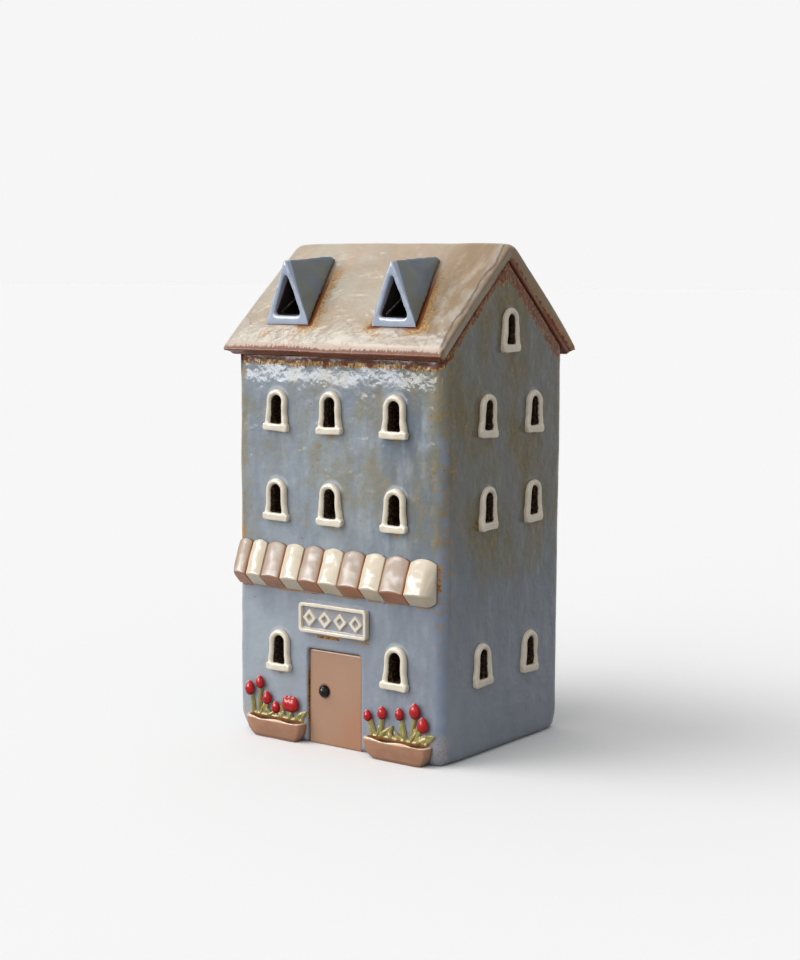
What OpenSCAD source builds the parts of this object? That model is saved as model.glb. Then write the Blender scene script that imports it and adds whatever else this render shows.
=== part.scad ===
// Glazed stoneware shop house that stands over a tealight.
// The slabs, coils and sprigs are modelled as the potter makes them, before they are luted and fired.
// Front faces -Y, X runs along the shop front, Z is up, and the origin is the middle of the footprint.

/* [House] */
// Width of the body across the shop front
house_w = 93; // [88:0.5:100]
// Depth of the body from the shop front to the rear
house_d = 76.5; // [72:0.5:84]
// Height from the table to the top of the ridge
house_h = 180; // [174:1:190]
// Thickness of the wall slabs
wall_t = 6; // [5.5:0.25:7]
// Thickness of the floor slab
floor_t = 6; // [4:0.5:8]
// Radius of the smoothed upright corners
corner_r = 4.5; // [3.5:0.25:5]
// Radius of the smoothed bottom edge
foot_r = 2.5; // [1.5:0.25:3]

/* [Rear arch] */
// Width of the arch that the tealight goes in through
arch_w = 42; // [40:1:46]
// Height of the arch above the floor slab
arch_h = 48; // [40:1:56]

/* [Roof] */
// Slope of both roof slabs in degrees
roof_pitch = 41; // [38:0.5:43]
// Thickness of the roof slabs
roof_t = 6; // [5:0.25:7]
// How far the top edge of the eave stands out past the wall
eave_over = 6; // [5.4:0.1:7]
// How much shorter the underside of a slab is than its top
eave_taper = 1.4; // [0:0.1:1.6]
// How far the top edge of the verge stands out past the gable wall
verge_over = 2.6; // [2:0.2:4]
// How far the lower edge of the verge stands out past the gable wall
verge_foot = 0.6; // [0.2:0.1:1.5]
// Radius of the rounded ridge
ridge_r = 4; // [3:0.25:4.75]
// Radius of the rounded ends of the ridge
ridge_end_r = 4; // [2:0.25:5]
// Radius of the softened roof edges
roof_edge_r = 0.9; // [0.5:0.1:1.4]

/* [Dormers] */
// Width of a dormer across its foot
dormer_w = 21; // [19:0.5:24]
// Height of a dormer's peak above its foot
dormer_h = 23.2; // [20:0.2:25]
// Distance from the shop front back to the dormer fronts
dormer_setback = 2.7; // [2:0.1:6]
// Distance between the middles of the two dormers
dormer_spacing = 47.2; // [42:0.2:50]
// How far the pair sits to the left of the middle
dormer_shift = 1; // [0:0.1:4]
// Angle in degrees by which a dormer's front leans back and its ridge climbs
dormer_lean = 4; // [0:0.5:6]
// Width of the triangular opening at its sill
dormer_open_w = 11.7; // [10:0.1:13]
// Height of the clay below the opening
dormer_sill_h = 3.4; // [2.6:0.2:4]
// Radius of the rolled edges of a dormer
dormer_edge_r = 1; // [0.6:0.1:1.3]

/* [Windows] */
// Width of a window opening
window_w = 5; // [4:0.25:6]
// Height of a window opening
window_h = 10.6; // [9:0.2:12]
// Width of the clay coil round a window
coil_w = 2.3; // [1.8:0.1:2.5]
// How far the coil stands out from the wall
coil_out = 2; // [1.4:0.1:2.4]
// Length of a window sill on the front
front_sill_w = 11; // [10.2:0.2:12]
// Length of a window sill on the sides
side_sill_w = 9.8; // [9.4:0.2:12]
// How far a sill stands out from the wall
sill_out = 2.2; // [1.6:0.1:2.6]
// Height of a window sill
sill_h = 2.7; // [2.2:0.1:3.2]
// Place of the ground floor sills, as a share of the height of the front wall
ground_share = 0.1785; // [0.165:0.0005:0.19]
// Place of the middle floor sills, as a share of the height of the front wall
middle_share = 0.571; // [0.555:0.001:0.59]
// Place of the top floor sills, as a share of the height of the front wall
top_share = 0.8015; // [0.78:0.0005:0.82]
// Height of the gable sills above the top of the front wall
gable_lift = 1.4; // [0:0.2:3]

/* [Awning] */
// Width of the striped awning
awning_w = 88.4; // [84:0.2:88.6]
// Place of the awning's lower edge, as a share of the height of the front wall
awning_share = 0.3955; // [0.385:0.0005:0.405]
// Height of the awning on the wall
awning_h = 17; // [15:0.5:18.5]
// How far the lip stands out from the wall
awning_out = 6; // [5:0.25:7.5]
// Height of the valance under the lip
valance_h = 4.8; // [4:0.2:5.6]
// Height of a stripe's crown above its edges
crown_h = 0.6; // [0.4:0.1:1.2]
// Radius of the rounded ends of the awning, seen from above
awning_end_r = 3.6; // [2:0.2:4.5]
// Radius of the softened lip
lip_r = 1; // [0.6:0.1:1.2]

/* [Door] */
// Width of the door
door_w = 23.8; // [21:0.2:25]
// Height of the door, as a share of the height of the front wall
door_share = 0.247; // [0.23:0.001:0.255]
// Thickness of the door slab
door_t = 1.8; // [1.4:0.1:2.2]
// How deep the door's face lies behind the wall's face
door_recess = 1.2; // [0.8:0.1:1.6]
// How far the door sits to the left of the middle
door_shift = 0.9; // [0:0.1:1.5]
// Diameter of the door knob
knob_d = 4.6; // [3.6:0.1:5]
// How far the knob stands out from the door
knob_out = 2; // [1.4:0.1:2.2]

/* [Sign] */
// Width of the sign board
sign_w = 30.6; // [27:0.2:34]
// Height of the sign board
sign_h = 11; // [9:0.2:12]
// Thickness of the sign board
sign_t = 2.5; // [2:0.1:3]
// Place of the sign in the free wall between door and awning, as the share of it that lies below
sign_share = 0.64; // [0.3:0.01:0.8]
// Width of the raised border
sign_border = 1.5; // [1.1:0.1:1.8]
// Depth of the sunk field
sign_sink = 1.2; // [0.8:0.1:1.5]

/* [Flower troughs] */
// Height of a trough
trough_h = 7.6; // [6.5:0.1:8.4]
// How far a trough bulges out from the wall
trough_out = 4.8; // [4:0.1:5.6]
// Thickness of the trough's wall
trough_wall = 1.3; // [1:0.1:1.6]
// Radius of the lower left corner, which is rounded more than the right one
trough_belly_r = 6; // [4:0.2:6.4]
// Distance from the left corner of the house to the left trough
trough_left_inset = 6.5; // [5:0.1:8]
// Distance from the right corner of the house to the right trough
trough_right_inset = 3.8; // [2.6:0.1:5]
// Clay left between the door and the right trough
trough_door_gap = 3; // [1:0.1:5]

/* [Tulips] */
// Width of a tulip bud
bud_w = 3.7; // [3:0.1:4]
// Height of a tulip bud
bud_h = 5; // [4.4:0.1:5.6]
// Width of a stem
stem_w = 1.5; // [1.2:0.1:1.8]
// Width of the widest leaf
leaf_w = 2.5; // [1.8:0.1:2.8]
// Thickness of a leaf
leaf_t = 1; // [0.7:0.1:1.3]
// Height of the wall left between the tallest bud's middle and the window sills
tulip_clear = 5.4; // [4.8:0.1:7]

/* [Hidden] */
$fn = 48;

// Clearance all round the door slab in its pocket
door_gap = 0.2;
// How far a cut runs past the face that it opens
overrun = 1;
// Smallest radius that the outlines use
soft_r = 0.8;
// Turn in degrees from the front to the right side
side_turn = 90;

half_w = house_w / 2;
half_d = house_d / 2;
far = house_h;

// Roof lines: the top planes meet at roof_apex, and the ridge is rounded below it
roof_apex = house_h + ridge_r * (1 / cos(roof_pitch) - 1);
under_apex = roof_apex - roof_t / cos(roof_pitch);
eave_y = half_d + eave_over;
slope_l = eave_y / cos(roof_pitch);
verge_x = half_w + verge_over;
wall_top_z = under_apex - half_d * tan(roof_pitch);

// Dormers
dormer_y = dormer_setback - half_d;
dormer_z = roof_apex + dormer_y * tan(roof_pitch);
dormer_open_share = 0.75;
dormer_open_h = (dormer_h - dormer_sill_h) * dormer_open_share;
DORMERS = [["left_dormer", -dormer_shift - dormer_spacing / 2], ["right_dormer", dormer_spacing / 2 - dormer_shift]];

// Windows: [floor, height of the sill, [[place, share of the wall from its middle], ...]]
front_window_shares = [
    ["ground", ground_share * wall_top_z, [["left", -0.273], ["right", 0.29]]],
    ["middle", middle_share * wall_top_z, [["left", -0.286], ["centre", -0.02], ["right", 0.284]]],
    ["top", top_share * wall_top_z, [["left", -0.284], ["centre", -0.022], ["right", 0.281]]]
];
side_window_shares = [
    ["ground", ground_share * wall_top_z, [["front", -0.195], ["rear", 0.2]]],
    ["middle", middle_share * wall_top_z, [["front", -0.163], ["rear", 0.218]]],
    ["top", top_share * wall_top_z, [["front", -0.171], ["rear", 0.214]]],
    ["gable", wall_top_z + gable_lift, [["middle", 0.005]]]
];
// Each side is the front turned about Z: [name, turn, distance of its face, its width, sense, length of its sills]
front_side = ["front", 0, half_d, house_w, 1, front_sill_w];
right_side = ["right", side_turn, half_w, house_d, 1, side_sill_w];
left_side = ["left", -side_turn, half_w, house_d, -1, side_sill_w];
function windows_of(side, rows) = [
    for (row = rows) for (place = row[2])
        [str("window_", side[0], "_", row[0], "_", place[0]), side, place[1] * side[3] * side[4], row[1]]
];
WINDOWS = concat(
    windows_of(front_side, front_window_shares),
    windows_of(right_side, side_window_shares),
    windows_of(left_side, side_window_shares)
);

// Awning stripes, hand cut and so uneven: the share of the awning that each one takes, from the left
stripe_shares = [0.072, 0.08, 0.1, 0.096, 0.102, 0.1, 0.108, 0.1, 0.118, 0.124];
function stripe_w(i) = stripe_shares[i] * awning_w;
function stripe_x(i) = i == 0 ? -awning_w / 2 : stripe_x(i - 1) + stripe_w(i - 1);
function stripe_name(i) = str("awning_stripe_", i + 1);

// How far the awning's top stands out, as a share of awning_out
awning_top_share = 0.2;
awning_top_t = awning_out * awning_top_share;
awning_z = awning_share * wall_top_z;
// Height of the arched top of a stripe, as a share of its width
stripe_arch_share = 0.16;

// Door and troughs
door_left = -door_shift - door_w / 2;
door_right = door_w / 2 - door_shift;
door_h = door_share * wall_top_z;
door_face_y = door_recess - half_d;
// Place of the knob, as shares of the door's width and height
knob_x_share = 0.29;
knob_z_share = 0.57;
TROUGHS = [
    ["left", trough_left_inset - half_w, door_left - door_gap],
    ["right", door_right + trough_door_gap, half_w - trough_right_inset]
];
soil_z = trough_h - trough_wall;
// Radius of a trough's ends seen from above, and bow of its front, as shares of how far it bulges out
trough_end_share = 0.9;
trough_bow_share = 0.3;
// Radius of the lower right corner
trough_heel_r = 1.6;
// How far the foot of a trough stands out, as a share of its top
trough_foot_share = 0.85;

// Sign
sign_z = door_h + (awning_z - door_h - sign_h) * sign_share;
// Each lozenge's share of the field's width and height, and the share of it that is left open
lozenge_w_share = 0.225;
lozenge_h_share = 0.82;
lozenge_open_share = 0.42;
lozenge_step = (sign_w - 2 * sign_border) / 4;
lozenge_w = (sign_w - 2 * sign_border) * lozenge_w_share;
lozenge_h = (sign_h - 2 * sign_border) * lozenge_h_share;

// Tulips: [share of the trough at the foot, share at the bud, share of tulip_rise, size share, width share]
left_tulip_shares = [
    [0.09, 0.03, 0.77, 1.12, 1],
    [0.16, 0.21, 1, 1, 1],
    [0.23, 0.335, 0.55, 1.04, 1],
    [0.53, 0.49, 0.31, 0.94, 1],
    [0.67, 0.75, 0.47, 1.16, 1.8]
];
right_tulip_shares = [
    [0.18, 0.045, 0.58, 0.86, 1],
    [0.21, 0.27, 0.73, 0.98, 1],
    [0.63, 0.53, 0.78, 0.92, 1],
    [0.67, 0.765, 0.95, 1.16, 1],
    [0.71, 0.885, 0.58, 1.16, 1]
];
// Leaves: [share of the trough at the foot, lean in degrees, share of tulip_rise, share of leaf_w]
// Their tips stay clear of each other and of the stems beside them
left_leaf_shares = [[0.22, 30, 0.46, 1], [0.53, -22, 0.28, 0.9], [0.6, -16, 0.3, 0.8], [0.78, 58, 0.5, 1]];
right_leaf_shares = [[0.15, -31, 0.42, 0.8], [0.3, 34, 0.36, 1], [0.6, -22, 0.4, 1], [0.7, 24, 0.45, 0.8], [0.76, 66, 0.62, 1.3]];
tulip_rise = ground_share * wall_top_z - trough_h - tulip_clear;
// Size of a bud's tip, as a share of its width
bud_tip_share = 0.8;
// Shares of a trough where its low cushion of leaves starts and ends, and the width of the cushion
cushion_shares = [0.08, 0.93];
cushion_w = 2.6;
TULIP_BEDS = [["left", TROUGHS[0], left_tulip_shares, left_leaf_shares], ["right", TROUGHS[1], right_tulip_shares, right_leaf_shares]];

// Outline helpers

// Unit vector from a to b
function toward(a, b) = (b - a) / norm(b - a);
// Inward normal of the edge from a to b of an anticlockwise outline
function inward(a, b) = let (e = toward(a, b)) [-e[1], e[0]];
// Corner i of a convex outline, moved in so that a circle of radius r touches both edges
function inset_corner(points, i, r) =
    let (
        n = len(points),
        before = inward(points[(i + n - 1) % n], points[i]),
        after = inward(points[i], points[(i + 1) % n])
    )
    points[i] + r * (before + after) / (1 + before * after);

// Convex anticlockwise outline with its corners rounded, each to its own radius
module rounded_by(points, radii) {
    n = len(points);
    inner = [for (i = [0 : n - 1]) inset_corner(points, i, radii[i])];
    polygon(inner);
    for (i = [0 : n - 1]) {
        next = (i + 1) % n;
        out = -inward(points[i], points[next]);
        translate(inner[i]) circle(radii[i]);
        polygon([inner[i], inner[i] + radii[i] * out, inner[next] + radii[next] * out, inner[next]]);
    }
}

// The same with one radius
module rounded(points, r) rounded_by(points, [for (p = points) r]);

module rounded_box(x0, x1, y0, y1, r) rounded([[x0, y0], [x1, y0], [x1, y1], [x0, y1]], r);

// Extrudes an outline drawn in Y and Z along X, about the middle
module along_x(length) rotate([90, 0, 90]) linear_extrude(length, center = true) children();

// Extrudes an outline drawn in X and Z along Y, about the middle
module along_y(length) rotate([90, 0, 0]) linear_extrude(length, center = true) children();

// Puts children on one side of the house, with their origin on the wall's face
module on_side(side, u, z) rotate([0, 0, side[1]]) translate([u, -side[2], z]) children();

// Keeps only what lies in front of the shop front's face
module in_front() intersection() {
    children();
    translate([-far, -half_d - far, 0]) cube([2 * far, far, far]);
}

// Wall slabs

// Whole outside of the body: upright corners and bottom edges rounded, top cut by the roof's undersides
module body_form() intersection() {
    linear_extrude(house_h) rounded_box(-half_w, half_w, -half_d, half_d, corner_r);
    along_x(2 * half_w) rounded_box(-half_d, half_d, 0, 2 * house_h, foot_r);
    along_y(2 * half_d) rounded_box(-half_w, half_w, 0, 2 * house_h, foot_r);
    along_x(2 * half_w) polygon([
        [-half_d, 0], [half_d, 0], [half_d, wall_top_z], [0, under_apex], [-half_d, wall_top_z]
    ]);
}

// Slab of the body from x0 to x1 and y0 to y1
module body_slab(x0, x1, y0, y1) intersection() {
    body_form();
    translate([x0, y0, 0]) cube([x1 - x0, y1 - y0, house_h]);
}

// Arched opening of a window, drawn in X and Z from the bottom of its sill
module window_outline() {
    translate([-window_w / 2, sill_h]) square([window_w, window_h - window_w / 2]);
    translate([0, sill_h + window_h - window_w / 2]) circle(window_w / 2);
}

// Holes of all the windows on one side
module window_holes(side) {
    for (w = WINDOWS) if (w[1] == side)
        on_side(side, w[2], w[3]) along_y(2 * (wall_t + overrun)) window_outline();
}

module door_pocket() {
    depth = door_t + door_recess;
    translate([0, depth / 2 - half_d - overrun / 2, 0]) along_y(depth + overrun)
        rounded_box(door_left - door_gap, door_right + door_gap, -door_h, door_h + door_gap, soft_r);
}

module front_wall() color("lightsteelblue") difference() {
    body_slab(-half_w, half_w, -half_d, wall_t - half_d);
    window_holes(front_side);
    door_pocket();
}

// Arch that starts at the top of the floor slab
module arch_outline() {
    translate([-arch_w / 2, floor_t]) square([arch_w, arch_h - arch_w / 2]);
    translate([0, floor_t + arch_h - arch_w / 2]) circle(arch_w / 2);
}

module rear_wall() color("lightsteelblue") difference() {
    body_slab(-half_w, half_w, half_d - wall_t, half_d);
    translate([0, half_d, 0]) along_y(2 * (wall_t + overrun)) arch_outline();
}

module right_gable_wall() color("lightslategray") difference() {
    body_slab(half_w - wall_t, half_w, wall_t - half_d, half_d - wall_t);
    window_holes(right_side);
}

module left_gable_wall() color("lightslategray") difference() {
    body_slab(-half_w, wall_t - half_w, wall_t - half_d, half_d - wall_t);
    window_holes(left_side);
}

module floor_slab() color("tan")
    translate([wall_t - half_w, wall_t - half_d, 0])
    cube([house_w - 2 * wall_t, house_d - 2 * wall_t, floor_t]);

// Roof slabs

// Moves an outline from (distance down the front slope, height above it) to Y and Z
module on_slope() translate([0, roof_apex]) rotate(roof_pitch) mirror([1, 0]) children();

// Strip of a slab: a top that reaches out by the width given and a shorter underside, with softened edges
module slab_outline(top, under) rounded([[-under, -roof_t], [under, -roof_t], [top, 0], [-top, 0]], roof_edge_r);

// Section of the front slab in Y and Z, mitred at the ridge under a rounded top
module roof_section() intersection() {
    on_slope() slab_outline(slope_l, slope_l - eave_taper);
    rounded([
        [-far, roof_apex - far * tan(roof_pitch)], [far, roof_apex - far * tan(roof_pitch)], [0, roof_apex]
    ], ridge_r);
    translate([-far, 0]) square([far, 2 * far]);
}

// The section run from verge to verge, with the verges cut down the slope and the ends of the ridge rounded
module roof_slab() intersection() {
    along_x(2 * verge_x) roof_section();
    translate([0, 0, roof_apex]) rotate([roof_pitch, 0, 0]) along_y(2 * far)
        slab_outline(verge_x, half_w + verge_foot);
    along_y(2 * far) rounded_box(-verge_x, verge_x, -house_h, house_h + overrun / 2, ridge_end_r);
}

module front_roof_slab() color("wheat") difference() {
    roof_slab();
    for (dormer = DORMERS) dormer_hollow(dormer[1]);
}

module rear_roof_slab() color("wheat") mirror([0, 1, 0]) roof_slab();

// Dormers

// Runs an outline drawn in X and Z back from a dormer's foot, along its climbing ridge
module back_from_foot(x, start, length)
    translate([x, dormer_y, dormer_z]) rotate([dormer_lean, 0, 0]) translate([0, start + length / 2, 0])
    along_y(length) children();

// Gable front of a dormer, reaching below the roof's surface, with its peak raised by what the rounding takes off
module dormer_outline() {
    drop = roof_t;
    peak = dormer_h + dormer_edge_r * (1 / sin(atan2(dormer_w / 2, dormer_h)) - 1);
    foot = dormer_w / 2 * (peak + drop) / peak;
    rounded([[-foot, -drop], [foot, -drop], [0, peak]], dormer_edge_r);
}

// Triangular hollow that runs from a dormer's front into the attic
module dormer_hollow(x)
    back_from_foot(x, -overrun, overrun - dormer_y) translate([0, dormer_sill_h])
    polygon([[-dormer_open_w / 2, 0], [dormer_open_w / 2, 0], [0, dormer_open_h]]);

module dormer(x) color("lightsteelblue") difference() {
    intersection() {
        back_from_foot(x, 0, -dormer_y) dormer_outline();
        translate([0, 0, roof_apex]) rotate([roof_pitch, 0, 0]) translate([-far, -far, 0]) cube(2 * far);
    }
    dormer_hollow(x);
}

// Window surrounds

// Coil section with its flat back on the wall
module coil_section() {
    translate([-coil_w / 2, 0]) square([coil_w, coil_out - coil_w / 2]);
    translate([0, coil_out - coil_w / 2]) intersection() {
        circle(coil_w / 2);
        translate([-coil_w / 2, 0]) square([coil_w, coil_w / 2]);
    }
}

// Coil bent over the opening, with a thicker sill under its legs
module window_surround(sill_w) {
    spring_z = sill_h + window_h - window_w / 2;
    coil_x = (window_w + coil_w) / 2;
    rotate([90, 0, 0]) {
        translate([0, spring_z, 0]) rotate_extrude(angle = 180) translate([coil_x, 0]) coil_section();
        for (s = [-1, 1])
            translate([s * coil_x, spring_z, 0]) rotate([90, 0, 0])
                linear_extrude(spring_z - sill_h) coil_section();
        linear_extrude(sill_out) rounded_box(-sill_w / 2, sill_w / 2, 0, sill_h, soft_r);
    }
}

// Awning

// Slope, lip and valance of the awning, drawn in Y and Z from its lower edge on the wall
module awning_profile() intersection() {
    rounded([
        [awning_out, 0 - lip_r], [awning_out, awning_h + lip_r], [-awning_top_t, awning_h + lip_r],
        [-awning_out, valance_h], [0, 0 - lip_r]
    ], lip_r);
    translate([-far, 0]) square([far, awning_h]);
}

// Radius of the arc that rises by the height given over a chord
function arc_r(chord, rise) = (chord * chord / 4 + rise * rise) / (2 * rise);

// Outline of the whole awning from above, with rounded ends
module awning_plan()
    rounded_box(-awning_w / 2, awning_w / 2, -half_d - awning_out - overrun, awning_end_r - half_d, awning_end_r);

// One pillowed stripe: the profile, an arched top and a crown across its width
module awning_stripe(i) color(i % 2 == 0 ? "rosybrown" : "ivory") intersection() {
    translate([stripe_x(i) + stripe_w(i) / 2, -half_d, awning_z]) pillow(stripe_w(i));
    linear_extrude(house_h) awning_plan();
}

module pillow(w) {
    crown_r = arc_r(w, crown_h);
    arch_rise = w * stripe_arch_share;
    arch_r = arc_r(w, arch_rise);
    lean = atan2(awning_out - awning_top_t, awning_h - valance_h);
    crown_out = awning_out * cos(lean) + valance_h * sin(lean);
    intersection() {
        along_x(w) awning_profile();
        along_y(2 * far) {
            translate([-w / 2, 0]) square([w, awning_h - arch_rise]);
            intersection() {
                translate([-w / 2, awning_h - arch_rise]) square([w, arch_rise]);
                translate([0, awning_h - arch_r]) circle(arch_r);
            }
        }
        rotate([-lean, 0, 0]) translate([0, crown_r - crown_out, 0]) cylinder(r = crown_r, h = 2 * far, center = true);
    }
}

// Sign board

// Diamond outline that stands in the sunk field
module lozenge(share) polygon([
    [-lozenge_w / 2 * share, 0], [0, -lozenge_h / 2 * share], [lozenge_w / 2 * share, 0], [0, lozenge_h / 2 * share]
]);

module sign_board() color("ivory")
    translate([0, -half_d, sign_z + sign_h / 2]) rotate([90, 0, 0]) {
        difference() {
            linear_extrude(sign_t) rounded_box(-sign_w / 2, sign_w / 2, -sign_h / 2, sign_h / 2, sign_border);
            translate([0, 0, sign_t - sign_sink]) linear_extrude(sign_sink + overrun)
                rounded_box(
                    sign_border - sign_w / 2, sign_w / 2 - sign_border,
                    sign_border - sign_h / 2, sign_h / 2 - sign_border, soft_r
                );
        }
        for (i = [-1.5 : 1.5]) translate([i * lozenge_step, 0, 0]) linear_extrude(sign_t - sign_sink / 4)
            difference() {
                lozenge(1);
                lozenge(lozenge_open_share);
            }
    }

// Door

module door_slab() color("sienna")
    translate([0, door_face_y + door_t / 2, 0]) along_y(door_t) intersection() {
        rounded_box(door_left, door_right, -door_h, door_h, soft_r);
        translate([-far, 0]) square([2 * far, far]);
    }

// Bead of clay pressed on to the latch side of the door
module door_knob() color("black") {
    ball_r = arc_r(knob_d, knob_out);
    translate([door_left + door_w * knob_x_share, door_face_y, door_h * knob_z_share])
        rotate([90, 0, 0]) rotate_extrude() intersection() {
            translate([0, knob_out - ball_r]) circle(ball_r);
            square([ball_r, knob_out]);
        }
}

// Flower troughs

// Outer form of a trough from x0 to x1, taken in by the amount given: bowed plan, rounded ends, tapered side
module trough_form(x0, x1, less) {
    w = x1 - x0;
    out = trough_out - less;
    end_r = out * trough_end_share;
    bow_r = arc_r(w, out * trough_bow_share);
    translate([(x0 + x1) / 2, -half_d, 0]) intersection() {
        linear_extrude(trough_h) intersection() {
            rounded_box(less - w / 2, w / 2 - less, -out, end_r * 2, end_r);
            translate([0, bow_r - out]) circle(bow_r);
            translate([-far, -far]) square([2 * far, far]);
        }
        along_y(2 * far) intersection() {
            rounded_by(
                [[less - w / 2, less], [w / 2 - less, less], [w / 2 - less, far], [less - w / 2, far]],
                [trough_belly_r - less, trough_heel_r - less / 2, soft_r, soft_r]
            );
            translate([-far, 0]) square([2 * far, trough_h]);
        }
        along_x(w) polygon([
            [0, 0], [0, trough_h], [-out, trough_h], [-out, trough_h - trough_wall], [-out * trough_foot_share, 0]
        ]);
    }
}

module flower_trough(trough) color("peru") difference() {
    trough_form(trough[1], trough[2], 0);
    intersection() {
        translate([0, 0, overrun]) trough_form(trough[1], trough[2], trough_wall);
        translate([-far, -half_d - far, soil_z]) cube([2 * far, far + overrun, far]);
    }
}

// Tulips

function bed_x(bed, share) = bed[1][1] + share * (bed[1][2] - bed[1][1]);
function bud_z(tulip) = trough_h + tulip[2] * tulip_rise;

// Closed bud, or petals side by side where the bud is wider
module bud(size, wide) {
    w = bud_w * size;
    lift = (bud_h * size - w) / 2;
    spread = w * (wide - 1) / 2;
    for (s = spread > 0 ? [-1, 0, 1] : [0]) translate([s * spread, 0, abs(s) * lift / 2]) {
        translate([0, 0, -lift]) sphere(d = w);
        translate([0, 0, lift + w / 2 * (1 - bud_tip_share)]) sphere(d = w * bud_tip_share);
    }
}

module bed_buds(bed) {
    for (tulip = bed[2])
        in_front() translate([bed_x(bed, tulip[1]), -half_d - stem_w / 2, bud_z(tulip)]) bud(tulip[3], tulip[4]);
}

// Stem from its foot in the trough up into its bud
module stem(bed, tulip) {
    foot = [bed_x(bed, tulip[0]), soil_z];
    top = [bed_x(bed, tulip[1]), bud_z(tulip)];
    reach = top - foot;
    translate([foot[0], -half_d - stem_w / 4, foot[1]]) rotate([0, atan2(reach[0], reach[1]), 0])
        translate([0, 0, -stem_w]) cylinder(d = stem_w, h = norm(reach) + stem_w);
}

module above_soil() intersection() {
    in_front() children();
    translate([-far, -far, soil_z]) cube(2 * far);
}

module bed_stems(bed) above_soil() for (tulip = bed[2]) stem(bed, tulip);

// Blade between two arcs, pointed at both ends
module leaf(length, width) {
    r = arc_r(length, width / 2);
    rotate([90, 0, 0]) linear_extrude(leaf_t) translate([0, length / 2]) intersection_for (s = [-1, 1])
        translate([s * (r - width / 2), 0]) circle(r);
}

module bed_leaves(bed) above_soil() for (blade = bed[3])
    translate([bed_x(bed, blade[0]), -half_d, trough_h]) rotate([0, blade[1], 0]) translate([0, 0, -leaf_w / 2])
        leaf(blade[2] * tulip_rise + leaf_w, leaf_w * blade[3]);

// Low cushion of leaves from which a bed's stems rise
module bed_cushion(bed) above_soil()
    translate([bed_x(bed, cushion_shares[0]), -half_d, trough_h]) rotate([0, 90, 0])
    cylinder(d = cushion_w, h = bed_x(bed, cushion_shares[1]) - bed_x(bed, cushion_shares[0]));

module tulip_buds(bed) color("crimson") bed_buds(bed);

module tulip_foliage(bed) color("olivedrab") difference() {
    union() {
        bed_stems(bed);
        bed_leaves(bed);
        bed_cushion(bed);
    }
    bed_buds(bed);
}

floor_slab();
front_wall();
rear_wall();
left_gable_wall();
right_gable_wall();
front_roof_slab();
rear_roof_slab();
for (d = DORMERS) dormer(d[1]);
for (i = [0 : len(stripe_shares) - 1]) awning_stripe(i);
sign_board();
door_slab();
door_knob();
for (t = TROUGHS) flower_trough(t);
for (bed = TULIP_BEDS) tulip_buds(bed);
for (bed = TULIP_BEDS) tulip_foliage(bed);
for (w = WINDOWS) color("ivory") on_side(w[1], w[2], w[3]) window_surround(w[1][5]);
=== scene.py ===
"""Dresses the stoneware shop house: soft hand-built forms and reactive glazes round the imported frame."""

import logging
import math
from contextlib import contextmanager
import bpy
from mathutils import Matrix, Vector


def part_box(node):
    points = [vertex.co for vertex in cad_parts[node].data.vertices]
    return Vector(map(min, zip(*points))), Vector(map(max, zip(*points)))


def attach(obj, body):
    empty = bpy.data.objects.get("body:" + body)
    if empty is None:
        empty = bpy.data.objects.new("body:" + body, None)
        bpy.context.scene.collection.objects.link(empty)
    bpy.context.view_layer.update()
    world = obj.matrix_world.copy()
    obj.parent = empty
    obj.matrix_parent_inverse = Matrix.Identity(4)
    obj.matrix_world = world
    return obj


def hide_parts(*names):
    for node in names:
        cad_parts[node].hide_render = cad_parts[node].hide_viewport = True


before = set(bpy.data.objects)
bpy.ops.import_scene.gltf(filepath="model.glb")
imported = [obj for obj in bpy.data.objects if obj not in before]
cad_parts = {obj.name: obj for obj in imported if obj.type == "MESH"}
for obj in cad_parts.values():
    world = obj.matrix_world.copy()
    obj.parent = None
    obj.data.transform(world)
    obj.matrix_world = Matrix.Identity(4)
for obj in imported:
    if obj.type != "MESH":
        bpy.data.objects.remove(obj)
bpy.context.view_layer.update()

from copy import copy
from dataclasses import dataclass, field
from enum import Enum
from functools import cached_property
from typing import Callable, Iterator, Sequence, Union

import bpy
import numpy as np
from mathutils import Matrix, Vector
from mathutils.bvhtree import BVHTree

log = logging.getLogger("shop_house")

MM = 0.001
BODY = "root"
ROOF_SLAB = 6.0
DORMER_TILT = math.tan(math.radians(4.0))
CRISP_ANGLE = math.radians(50.0)
WELD = 0.002 * MM


class Coat(Enum):
    """Glazes and bare clay, each value the record's material slot."""

    WALL = "wall_glaze"
    ROOF = "roof_glaze"
    DORMER = "dormer_glaze"
    CREAM = "cream_glaze"
    TAUPE = "taupe_glaze"
    DOOR = "door_glaze"
    KNOB = "knob_glaze"
    TROUGH = "trough_glaze"
    RED = "red_glaze"
    GREEN = "green_glaze"
    BARE = "bare_stoneware"


def srgb(code: str) -> tuple[float, float, float, float]:
    """Turns a display colour into the linear colour that shaders use.

    Args:
        code: Six hexadecimal digits.

    Returns:
        Linear red, green, blue and an alpha of one.
    """
    channels = [int(code[i : i + 2], 16) / 255 for i in (0, 2, 4)]
    linear = [c / 12.92 if c <= 0.04045 else ((c + 0.055) / 1.055) ** 2.4 for c in channels]
    return (*linear, 1.0)


def grey(level: float) -> tuple[float, float, float, float]:
    """Gives a linear grey."""
    return (level, level, level, 1.0)


# Shader expressions


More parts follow.
